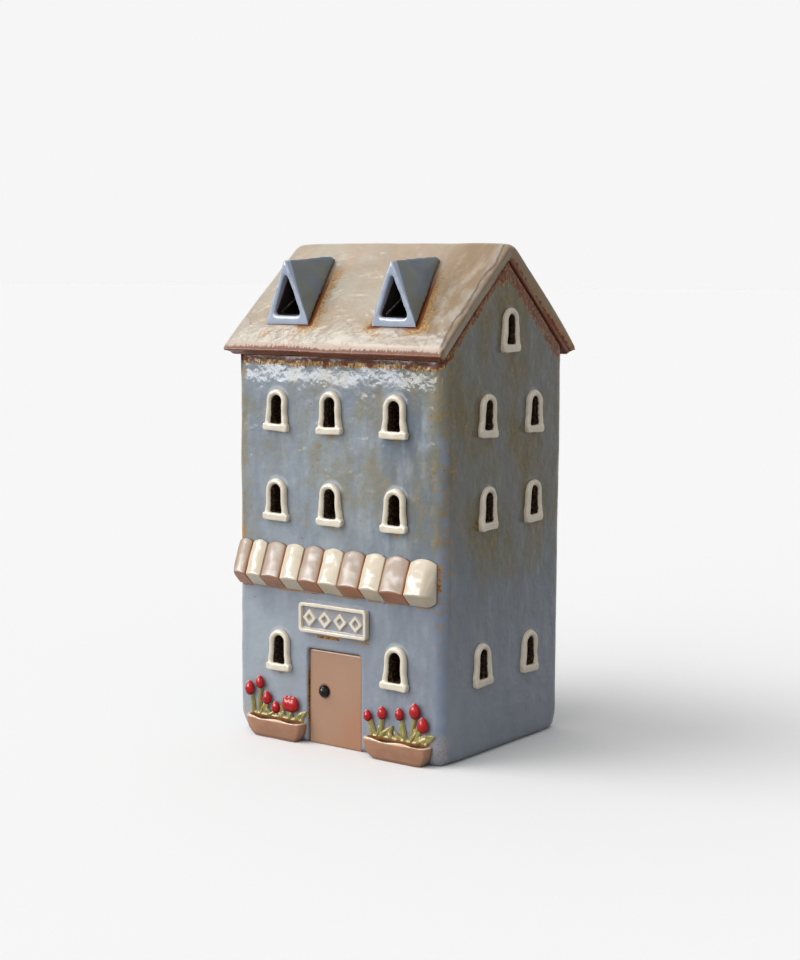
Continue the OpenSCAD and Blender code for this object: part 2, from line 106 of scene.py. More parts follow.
class Wire:
    """One output of a shader node, which arithmetic can be written on."""

    def __init__(self, graph: "Graph", socket: bpy.types.NodeSocket) -> None:
        """Keeps the graph that new nodes go into and the socket itself."""
        self.graph = graph
        self.socket = socket

    def _math(self, operation: str, *terms: "Term") -> "Wire":
        """Adds one Math node.

        Args:
            operation: The node's operation.
            terms: Its values or links, in order.

        Returns:
            The node's output.
        """
        inputs = dict(enumerate(terms))
        return self.graph.node("ShaderNodeMath", {"operation": operation}, inputs).out()

    def __add__(self, other: "Term") -> "Wire":
        """Sum."""
        return self._math("ADD", self, other)

    __radd__ = __add__

    def __sub__(self, other: "Term") -> "Wire":
        """Difference."""
        return self._math("SUBTRACT", self, other)

    def __rsub__(self, other: "Term") -> "Wire":
        """Difference from a number."""
        return self._math("SUBTRACT", other, self)

    def __mul__(self, other: "Term") -> "Wire":
        """Product."""
        return self._math("MULTIPLY", self, other)

    __rmul__ = __mul__

    def __abs__(self) -> "Wire":
        """Size without its sign."""
        return self._math("ABSOLUTE", self)

    def least(self, other: "Term") -> "Wire":
        """Smaller of two."""
        return self._math("MINIMUM", self, other)

    def most(self, other: "Term") -> "Wire":
        """Larger of two."""
        return self._math("MAXIMUM", self, other)

    def fade(self, start: float, end: float) -> "Wire":
        """Rises smoothly from 0 at start to 1 at end, and falls where end is below start.

        Args:
            start: Value that gives 0.
            end: Value that gives 1.

        Returns:
            A mask from 0 to 1.
        """
        low, high = min(start, end), max(start, end)
        ends = {3: 0.0, 4: 1.0} if end > start else {3: 1.0, 4: 0.0}
        inputs = {"Value": self, 1: low, 2: high, **ends}
        settings = {"interpolation_type": "SMOOTHSTEP", "clamp": True}
        return self.graph.node("ShaderNodeMapRange", settings, inputs).out()

    def line(self, level: float, half: float) -> "Wire":
        """Draws a thin line where this value passes a level.

        Args:
            level: The value along the line.
            half: Distance from the level at which the line ends.

        Returns:
            A mask from 0 to 1.
        """
        return abs(self - level).fade(half, half * 0.3)


Term = Union[Wire, float, int]
Colour = Union[Wire, str]
Place = Union[Wire, np.ndarray]


class Made:
    """A shader node that has just been added."""

    def __init__(self, graph: "Graph", node: bpy.types.Node) -> None:
        """Keeps the graph and the node."""
        self.graph = graph
        self.node = node

    def out(self, key: Union[int, str] = 0) -> Wire:
        """Gives one output by its number or name."""
        return Wire(self.graph, self.node.outputs[key])


class Graph:
    """Node tree of one material or of the world, and the colour that its layers have reached."""

    def __init__(self, owner: Union[bpy.types.Material, bpy.types.World], ground: Colour = "ffffff") -> None:
        """Clears the tree.

        Args:
            owner: What the tree belongs to.
            ground: Colour under all layers.
        """
        owner.use_nodes = True
        self.owner = owner
        self.colour = ground
        self.tree = owner.node_tree
        self.tree.nodes.clear()
        self.coordinates = self.node("ShaderNodeTexCoord", {}, {})
        self.place = self.vector("MULTIPLY", self.coordinates.out("Object"), (1 / MM, 1 / MM, 1 / MM))

    @classmethod
    def material(cls, name: str, ground: Colour = "ffffff") -> "Graph":
        """Starts a new material."""
        return cls(bpy.data.materials.new(name), ground)

    def node(self, kind: str, settings: dict, inputs: dict) -> Made:
        """Adds a node, sets it and then fills its sockets.

        Args:
            kind: Node type.
            settings: Node properties by name.
            inputs: Wires, numbers or display colours by socket number or name.

        Returns:
            The node.
        """
        node = self.tree.nodes.new(kind)
        for key, value in settings.items():
            setattr(node, key, value)
        for key, value in inputs.items():
            if isinstance(value, Wire):
                self.tree.links.new(value.socket, node.inputs[key])
            else:
                node.inputs[key].default_value = srgb(value) if isinstance(value, str) else value
        return Made(self, node)

    def vector(
        self, operation: str, first: Wire, second: tuple[float, float, float], key: Union[int, str] = 0
    ) -> Wire:
        """Works on a vector with a fixed one."""
        return self.node("ShaderNodeVectorMath", {"operation": operation}, {0: first, 1: second}).out(key)

    @cached_property
    def axes(self) -> tuple[Wire, Wire, Wire]:
        """X, y and z in millimetres."""
        made = self.node("ShaderNodeSeparateXYZ", {}, {0: self.place})
        return made.out(0), made.out(1), made.out(2)

    def noise(
        self,
        grain: float,
        detail: float = 3.0,
        rough: float = 0.5,
        stretch: tuple[float, float, float] = (1.0, 1.0, 1.0),
        seed: float = 0.0,
    ) -> Wire:
        """Cloudy noise in the object's own place.

        Args:
            grain: Size of its blots in millimetres.
            detail: Octaves of finer noise.
            rough: Strength of the finer noise.
            stretch: Factor on each axis. A factor below one draws the blots out along it.
            seed: Shift that gives another pattern.

        Returns:
            Values round 0.5.
        """
        shifted = self.vector("ADD", self.vector("MULTIPLY", self.place, stretch), (seed, seed, seed))
        inputs = {"Vector": shifted, "Scale": 1 / grain, "Detail": detail, "Roughness": rough}
        return self.node("ShaderNodeTexNoise", {}, inputs).out(0)

    def dots(self, spacing: float, share: float, size: float, seed: float = 0.0) -> Wire:
        """Round specks on some cells of a loose grid.

        Args:
            spacing: Mean distance between cells in millimetres.
            share: Share of the cells that hold a speck.
            size: Radius of a speck as a share of spacing.
            seed: Shift that gives another pattern.

        Returns:
            A mask from 0 to 1.
        """
        shifted = self.vector("ADD", self.place, (seed, seed, seed))
        cell = self.node("ShaderNodeTexVoronoi", {}, {"Vector": shifted, "Scale": 1 / spacing})
        pick = self.node("ShaderNodeSeparateColor", {}, {0: cell.out("Color")}).out(0)
        return cell.out("Distance").fade(size, size * 0.45) * pick.fade(share + 0.02, share - 0.02)

    def attribute(self, name: str) -> Wire:
        """Reads a number that the mesh carries at each vertex."""
        return self.node("ShaderNodeAttribute", {"attribute_name": name}, {}).out("Fac")

    def blend(self, mask: Term, under: Colour, over: Colour) -> Wire:
        """Mixes two colours, the upper one as strongly as the mask says."""
        inputs = {0: mask, 6: under, 7: over}
        return self.node("ShaderNodeMix", {"data_type": "RGBA", "clamp_factor": True}, inputs).out(2)

    def lay(self, mask: Term, over: Colour) -> None:
        """Lays a colour over all that was laid before."""
        self.colour = self.blend(mask, self.colour, over)

    def clay_in_painted_shade(self, dark: Colour, fleck: Colour) -> Wire:
        """Near-black painted shade over the bare clay inside the house, with burnt flecks."""
        return self.blend(self.noise(0.9, 4.0, 0.7, seed=91).fade(0.5, 0.62), dark, fleck)

    def swells(self, broad: float, ripple: float) -> Wire:
        """Relief of a thick glaze, from the shares of its broad swells and its ripples."""
        return self.noise(7.0, 2.0, 0.45, seed=8) * broad + self.noise(2.0, 2.0, 0.5, seed=9) * ripple

    def finish(self, roughness: Term, relief: Wire, depth: float, shine: float = 0.5) -> bpy.types.Material:
        """Adds the surface shader.

        Args:
            roughness: Roughness.
            relief: Height of the fine relief, from 0 to 1.
            depth: Height that a relief of 1 stands for, in millimetres.
            shine: Level of the mirror-like reflection.

        Returns:
            The material.
        """
        bump = self.node("ShaderNodeBump", {}, {"Strength": 1.0, "Distance": depth * MM, "Height": relief})
        inputs = {
            "Base Color": self.colour,
            "Roughness": roughness,
            "Normal": bump.out(),
            "Specular IOR Level": shine,
        }
        shader = self.node("ShaderNodeBsdfPrincipled", {}, inputs)
        self.node("ShaderNodeOutputMaterial", {}, {0: shader.out()})
        return self.owner


# Sizes read from the frame


def places(mesh: bpy.types.Mesh) -> np.ndarray:
    """Gives a mesh's vertices in millimetres, one row each.

    Args:
        mesh: The mesh.

    Returns:
        The rows.
    """
    rows = np.empty(len(mesh.vertices) * 3, np.float32)
    mesh.vertices.foreach_get("co", rows)
    return rows.reshape(-1, 3).astype(float) / MM


def move(mesh: bpy.types.Mesh, rows: np.ndarray) -> None:
    """Puts a mesh's vertices at new places in millimetres."""
    mesh.vertices.foreach_set("co", (rows * MM).astype(np.float32).ravel())
    mesh.update()


def span(node: str) -> tuple[np.ndarray, np.ndarray]:
    """Gives the two corners of a node's box in millimetres."""
    low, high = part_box(node)
    return np.array(low) / MM, np.array(high) / MM


def nodes_with(*starts: str) -> list[str]:
    """Lists the nodes whose names start in one of these ways."""
    return sorted(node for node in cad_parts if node.startswith(starts))


@dataclass(frozen=True)
class Plan:
    """Main lines of the house in millimetres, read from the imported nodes."""

    half_w: float
    half_d: float
    wall_t: float
    wall_top: float
    under_apex: float
    roof_apex: float
    slope: float
    slope_run: float
    verge: float
    awning_low: float
    awning_high: float

    @classmethod
    def read(cls) -> "Plan":
        """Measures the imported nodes.

        Returns:
            The plan.
        """
        front_low, front_high = span("front_wall")
        gable_high = span("right_gable_wall")[1]
        roof_low, roof_high = span("front_roof_slab")
        stripe_low, stripe_high = span("awning_stripe_5")
        half_d = -front_low[1]
        wall_t = front_high[1] - front_low[1]
        slope = math.atan2(gable_high[2] - front_high[2], half_d - wall_t)
        return cls(
            half_w=front_high[0],
            half_d=half_d,
            wall_t=wall_t,
            wall_top=gable_high[2] - half_d * math.tan(slope),
            under_apex=gable_high[2],
            roof_apex=gable_high[2] + ROOF_SLAB / math.cos(slope),
            slope=slope,
            slope_run=-roof_low[1] / math.cos(slope),
            verge=roof_high[0],
            awning_low=stripe_low[2],
            awning_high=stripe_high[2],
        )

    def below(self, apex: float, y: Place, z: Place) -> Place:
        """Gives the distance below the pair of roof planes that meet at an apex."""
        return (apex - abs(y) * math.tan(self.slope) - z) * math.cos(self.slope)

    def from_eave(self, y: Place, z: Place) -> Place:
        """Gives the distance up the slope from the eave."""
        down = abs(y) * math.cos(self.slope) + (self.roof_apex - z) * math.sin(self.slope)
        return self.slope_run - down


PLAN = Plan.read()


# Masks on vertices


def unit(values: np.ndarray) -> np.ndarray:
    """Keeps values between 0 and 1."""
    return np.clip(values, 0, 1)


def bell(away: np.ndarray, width: float) -> np.ndarray:
    """Falls from 1 at no distance to about a third at a distance of one width."""
    return np.exp(-((away / width) ** 2))


def behind_front(rows: np.ndarray) -> np.ndarray:
    """Gives each vertex's distance behind the face of the front wall."""
    return rows[:, 1] + PLAN.half_d


def seated(behind: np.ndarray, reach: float) -> np.ndarray:
    """Turns the distance behind a face, negative in front of it, into a mask of what lies close to it."""
    return unit(1 + behind / reach)


def axis_along(node: str) -> int:
    """Gives the axis that runs along the wall of a window."""
    return 0 if "_front_" in node else 1


# Clay forms


def only(objects: Sequence[bpy.types.Object]) -> None:
    """Selects these objects and nothing else, the first one active.

    Args:
        objects: The objects.
    """
    if bpy.context.mode != "OBJECT":
        bpy.ops.object.mode_set(mode="OBJECT")
    bpy.ops.object.select_all(action="DESELECT")
    for item in objects:
        item.select_set(True)
    bpy.context.view_layer.objects.active = objects[0]


@contextmanager
def all_in_edit() -> Iterator[None]:
    """Opens the active object in edit mode, all of it selected, and leaves it again.

    Yields:
        Nothing, once the mesh is open.
    """
    bpy.ops.object.mode_set(mode="EDIT")
    bpy.ops.mesh.select_all(action="SELECT")
    yield
    bpy.ops.object.mode_set(mode="OBJECT")


@dataclass(frozen=True)
class Wobble:
    """Unevenness that a hand leaves in clay."""

    grain: float
    depth: float
    inward: bool = False


@dataclass
class Lump:
    """One clay form, grown from CAD nodes and worked until it looks thrown by hand."""

    name: str
    nodes: Sequence[str]
    coat: Coat
    piece: bpy.types.Object = field(init=False)

    def __post_init__(self) -> None:
        """Copies the nodes' meshes into one new object and merges their corners."""
        copies = []
        for node in self.nodes:
            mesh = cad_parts[node].data.copy()
            mesh.materials.clear()
            copies.append(bpy.data.objects.new(self.name, mesh))
            bpy.context.scene.collection.objects.link(copies[-1])
        self._unite(copies)
        with all_in_edit():
            bpy.ops.mesh.remove_doubles(threshold=WELD)

    def _unite(self, objects: Sequence[bpy.types.Object]) -> None:
        """Joins objects into the first one and takes that for this form.

        Args:
            objects: The objects.
        """
        only(objects)
        if len(objects) > 1:
            bpy.ops.object.join()
        self.piece = objects[0]
        self._label()

    def _label(self) -> None:
        """Names the object and its mesh."""
        self.piece.name = self.name
        self.piece.data.name = self.name

    def _modify(self, kind: str, settings: dict) -> None:
        """Adds one modifier and applies it.

        Args:
            kind: Modifier type.
            settings: Its properties by name.
        """
        only([self.piece])
        modifier = self.piece.modifiers.new(kind.lower(), kind)
        for key, value in settings.items():
            setattr(modifier, key, value)
        bpy.ops.object.modifier_apply(modifier=modifier.name)

    def slip(self, voxel: float, passes: int) -> "Lump":
        """Covers the form with an even skin, which softens its edges as slip and glaze do.

        Args:
            voxel: Size of the skin's faces in millimetres.
            passes: Rounds of smoothing.

        Returns:
            The form.
        """
        self._modify("REMESH", {"mode": "VOXEL", "voxel_size": voxel * MM, "adaptivity": 0.0})
        self._modify("SMOOTH", {"factor": 0.5, "iterations": passes})
        return self

    def wobble(self, *layers: Wobble) -> "Lump":
        """Makes the surface uneven, the same way on forms that meet.

        Args:
            layers: Unevenness of several sizes.

        Returns:
            The form.
        """
        for number, layer in enumerate(layers):
            texture = bpy.data.textures.new(f"{self.name}_{number}", "CLOUDS")
            texture.noise_scale = layer.grain * MM
            texture.noise_depth = 1
            settings = {
                "texture": texture,
                "texture_coords": "LOCAL",
                "strength": layer.depth * MM,
                "mid_level": 1.0 if layer.inward else 0.5,
            }
            self._modify("DISPLACE", settings)
        return self

    def points(self) -> np.ndarray:
        """Gives the vertices in millimetres, one row each."""
        return places(self.piece.data)

    def normals(self) -> np.ndarray:
        """Gives each vertex's outward direction.

        Returns:
            Unit vectors, one row each.
        """
        rows = np.empty(len(self.piece.data.vertices) * 3, np.float32)
        self.piece.data.vertex_normals.foreach_get("vector", rows)
        return rows.reshape(-1, 3).astype(float)

    def shape(self, rule: Callable[[np.ndarray], np.ndarray]) -> "Lump":
        """Moves the vertices by a rule on their places in millimetres."""
        move(self.piece.data, rule(self.points()))
        return self

    def mark(self, **values: np.ndarray) -> "Lump":
        """Stores named numbers at each vertex for the glaze to read.

        Args:
            values: Numbers at each vertex, by name.

        Returns:
            The form.
        """
        for name, numbers in values.items():
            layer = self.piece.data.attributes.new(name, "FLOAT", "POINT")
            layer.data.foreach_set("value", numbers.astype(np.float32))
        return self

    def near(self, nodes: Sequence[str], reach: float) -> np.ndarray:
        """Measures each vertex's distance from some CAD nodes.

        Args:
            nodes: The nodes.
            reach: Distance past which the number stays the same.

        Returns:
            Distances in millimetres.
        """
        corners: list[Vector] = []
        faces: list[tuple[int, ...]] = []
        for node in nodes:
            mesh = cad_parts[node].data
            start = len(corners)
            corners.extend(v.co.copy() for v in mesh.vertices)
            faces.extend(tuple(start + i for i in p.vertices) for p in mesh.polygons)
        tree = BVHTree.FromPolygons(corners, faces)
        found = (tree.find_nearest(v.co, reach * MM)[3] for v in self.piece.data.vertices)
        return np.array([reach if d is None else d / MM for d in found])

    def part(self, name: str, node: str, cuts: Sequence[tuple[tuple, tuple]]) -> "Lump":
        """Cuts out the share of this form that stands for one node.

        Args:
            name: Name of the new piece.
            node: The node that it stands for.
            cuts: Planes as (point in millimetres, normal towards the side that goes).

        Returns:
            The new form.
        """
        share = copy(self)
        share.name, share.nodes = name, [node]
        share.piece = self.piece.copy()
        share.piece.data = self.piece.data.copy()
        share._label()
        bpy.context.scene.collection.objects.link(share.piece)
        only([share.piece])
        for point, normal in cuts:
            spot = tuple(value * MM for value in point)
            with all_in_edit():
                bpy.ops.mesh.bisect(plane_co=spot, plane_no=normal, use_fill=True, clear_outer=True)
        return share

    def regrow(self, shapes: Sequence["Egg"], keep: bool = False) -> "Lump":
        """Puts modelled shapes in this form.

        Args:
            shapes: The shapes.
            keep: Whether they join the CAD form or take its place.

        Returns:
            The form.
        """
        made = [shape.build() for shape in shapes]
        if keep:
            made.insert(0, self.piece)
        else:
            self.discard()
        self._unite(made)
        return self

    def discard(self) -> None:
        """Removes a form that was only a step."""
        bpy.data.objects.remove(self.piece)

    def dress(self, coats: dict[Coat, bpy.types.Material]) -> None:
        """Shades the form, gives it its glaze and hands it to the frame.

        Args:
            coats: Materials by coat.
        """
        only([self.piece])
        bpy.ops.object.shade_smooth_by_angle(angle=CRISP_ANGLE)
        self.piece.data.materials.clear()
        self.piece.data.materials.append(coats[self.coat])
        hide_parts(*self.nodes)
        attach(self.piece, BODY)
        log.info("%s: %d faces", self.name, len(self.piece.data.polygons))


# Glazes


@dataclass(frozen=True)
class WallGlaze:
    """Blue-grey reactive glaze that breaks to olive and ochre."""

    coat: Coat = Coat.WALL
    deep: str = "848e99"
    pale: str = "9ca5ad"
    shop: str = "959ca9"
    frost: str = "a7b0b8"
    falloff_shade: str = "5d666f"
    olive: str = "85826d"
    mossy: str = "716847"
    shade: str = "585c61"
    ochre: str = "a7803c"
    rust: str = "763812"
    gold: str = "c08c34"
    cream: str = "d9cda6"
    halo: str = "b4bcc4"
    crest: str = "8391a6"
    foot: str = "bcaea8"
    inside: str = "160e08"
    burnt: str = "6a4a22"
    soot: str = "74300c"
    eave: str = "5a2a12"
    relief: float = 0.85
    shine: float = 0.25

    def build(self) -> bpy.types.Material:
        """Makes the material.

        Returns:
            The material.
        """
        g = Graph.material(self.coat.value, self.deep)
        y, z = g.axes[1:]
        drip = g.noise(6.0, 5.0, 0.6, (1, 1, 0.35))
        mist = g.noise(8.0, 5.0, 0.62, seed=5)
        grit = g.noise(1.0, 3.0, 0.6, seed=3)
        gap = PLAN.below(PLAN.under_apex, y, z)
        self.ground(g, drip, mist, grit)
        self.marks(g, mist)
        self.fringe(g, gap)
        # Painted shade: the reveals and the hollow behind the glazed face go near black over the bare clay.
        hidden = g.attribute("inside")
        g.lay(hidden, g.clay_in_painted_shade(self.inside, self.burnt))
        rough = drip.fade(0.3, 0.8) * 0.06 + 0.1 + hidden * 0.6 + gap.fade(3.2, 2.0) * 0.1
        return g.finish(rough, g.swells(0.8, 0.17) + grit * 0.03, self.relief, self.shine)

    def ground(self, g: Graph, drip: Wire, mist: Wire, grit: Wire) -> None:
        """Lays the blue of the shop front, the olive breaks above it and the paler foot, with painted shade
        on the right of the front and on the right gable and a painted highlight on the front right corner.

        Args:
            g: The material's graph.
            drip: Noise drawn out downwards.
            mist: Coarse noise.
            grit: Fine noise.
        """
        x, y, z = g.axes
        awning = PLAN.awning_low
        cloud = g.noise(26.0, 4.0, 0.55, (1, 1, 0.8), seed=11)
        in_x, behind = PLAN.half_w - abs(x), y + PLAN.half_d
        corner = in_x.most(PLAN.half_d - abs(y))
        flank = in_x.fade(7.0, 1.0)
        right = x.fade(0.0, 1.0)
        height = z + (cloud - 0.5) * 40.0
        upper = height.fade(awning + 6, awning + 26)
        low = height.fade(awning, awning - 10)
        g.lay(drip.fade(0.28, 0.76), self.pale)
        g.lay(height.fade(awning + 14, awning - 8) * 0.6, self.shop)
        g.lay(low * x.fade(4.0, -38.0) * (1 - flank) * 0.7, self.frost)
        # Painted shade: the front darkens towards its right end, where the light falls off.
        falloff_shade = x.fade(2.0, 36.0) * (PLAN.half_w - x).fade(2.0, 6.0) * behind.fade(2.0, 1.0)
        g.lay(falloff_shade * drip.fade(0.75, 0.4) * (0.35 + upper * 0.4), self.falloff_shade)
        g.lay(flank * right * z.fade(12.0, 60.0) * 0.45, self.shade)
        veil = g.noise(9.0, 5.0, 0.65, (1, 1, 0.45), seed=33)
        breaking = (cloud + veil * 0.7 - 0.35).fade(0.4, 0.7)
        g.lay(breaking * upper * 0.75, self.olive)
        g.lay(flank * height.fade(50.0, 90.0) * (0.42 + breaking * 0.58), self.mossy)
        edge = (corner - (mist - 0.5) * 12.0).fade(6.5, 1.8) * z.fade(awning - 4, awning + 3)
        g.lay(edge * 0.6, self.olive)
        # Painted highlight: the rounded front right corner is laid bluer, as where it catches the light.
        crest = (PLAN.half_w - x).most(behind).fade(4.6, 2.6)
        g.lay(crest * (cloud + mist * 0.4).fade(0.78, 0.6) * 0.85, self.crest)
        crust = flank * behind.fade(9.0, 3.0) * z.fade(awning - 22, awning - 6) * right
        broken = (breaking * upper * 0.8 + edge + crust).least(1.0)
        crumbs = broken * grit.fade(0.52, 0.6) * g.noise(3.0, 4.0, 0.6, seed=61).fade(0.46, 0.56)
        g.lay(crumbs * 0.85, self.ochre)
        specks = g.dots(3.8, 0.05, 0.11) + g.dots(1.5, 0.13, 0.24, seed=40) * broken
        g.lay(specks.least(1.0) * 0.8, self.rust)
        foot = z.fade(15.0, 5.0) * (corner - (mist - 0.5) * 10.0).fade(7.0, 2.0)
        g.lay(foot * mist.fade(0.4, 0.56) * 0.6, self.foot)
        g.lay(foot * g.noise(0.8, 4.0, 0.7, seed=83).fade(0.57, 0.63) * 0.85, self.rust)

    def marks(self, g: Graph, mist: Wire) -> None:
        """Lays the marks round the sprigs: pale halos over arches, a painted highlight partly of pooled
        glaze, and burnt spots under sills.

        Args:
            g: The material's graph.
            mist: Coarse noise.
        """
        # Painted highlight: pale arcs over the front windows and a pale line over the sign, partly pooled
        # glaze.
        halo = g.attribute("halo")
        g.lay((halo + (mist - 0.5) * halo * 2.0).fade(0.1, 0.9) * 0.75, self.halo)
        crumb = g.noise(0.7, 4.0, 0.7, seed=87)
        some = g.noise(13.0, 1.0, 0.5, seed=89).fade(0.42, 0.56)
        spot = g.attribute("spot") * some
        g.lay((spot - (1 - crumb) * 0.7).fade(0.0, 0.3) * 0.75, self.ochre)
        lick = g.attribute("lick") * (some * 0.45 + 0.55)
        g.lay((lick - (1 - mist) * 0.5).fade(0.0, 0.3) * crumb.fade(0.4, 0.52), self.gold)
        g.lay((lick - crumb).fade(-0.04, 0.1) * crumb.fade(0.56, 0.46) * 0.9, self.rust)

    def fringe(self, g: Graph, gap: Wire) -> None:
        """Lays the ragged gold and rust line where the glaze runs off the roof's soffit.

        Args:
            g: The material's graph.
            gap: Distance below the soffit.
        """
        y = g.axes[1]
        comb = g.noise(1.0, 3.0, 0.65, (1, 1, 0.3), seed=21)
        fleck = g.noise(0.55, 2.0, 0.5, (1, 1, 0.28), seed=25)
        patch = g.noise(5.0, 2.0, 0.5, seed=23)
        gable = (PLAN.half_d - abs(y)).fade(1.0, 3.0)
        g.lay((gap - comb * 5.0).fade(2.2, -1.2) * 0.5, self.olive)
        ragged = gap - comb * 3.8 + gable * 1.9 - 0.9
        g.lay(ragged.fade(0.9, 0.5), self.burnt)
        g.lay(ragged.fade(0.8, 0.4) * fleck.fade(0.44, 0.5), self.gold)
        g.lay(ragged.fade(0.6, 0.2) * fleck.fade(0.56, 0.62) * (1 - gable) * 0.9, self.cream)
        burn = (gap - comb * 1.8 - patch.fade(0.46, 0.6) + gable * 0.9).fade(1.6, 1.2)
        g.lay(burn * (0.2 + patch.fade(0.44, 0.54) * 0.8), self.rust)
        g.lay((gap - comb * 1.1).fade(1.8, 1.5) * (1 - gable), self.eave)
        clot = g.noise(2.2, 4.0, 0.65, seed=27)
        band = gap - (clot - 0.5) * 3.4 - abs(y).fade(9.0, 2.0).most(y.fade(-2.0, 5.0)) * 4.0
        g.lay(band.fade(1.5, 1.1) * gable * 0.85, self.burnt)
        g.lay(band.fade(1.4, 1.0) * gable * fleck.fade(0.5, 0.56) * 0.8, self.gold)
        clay = g.blend(g.noise(1.3, 3.0, 0.6, seed=29).fade(0.5, 0.62) * 0.7, self.soot, self.ochre)
        clay = g.blend(clot.fade(0.5, 0.62) * 0.6, clay, self.eave)
        g.lay(band.fade(0.7, 0.3) * gable, clay)


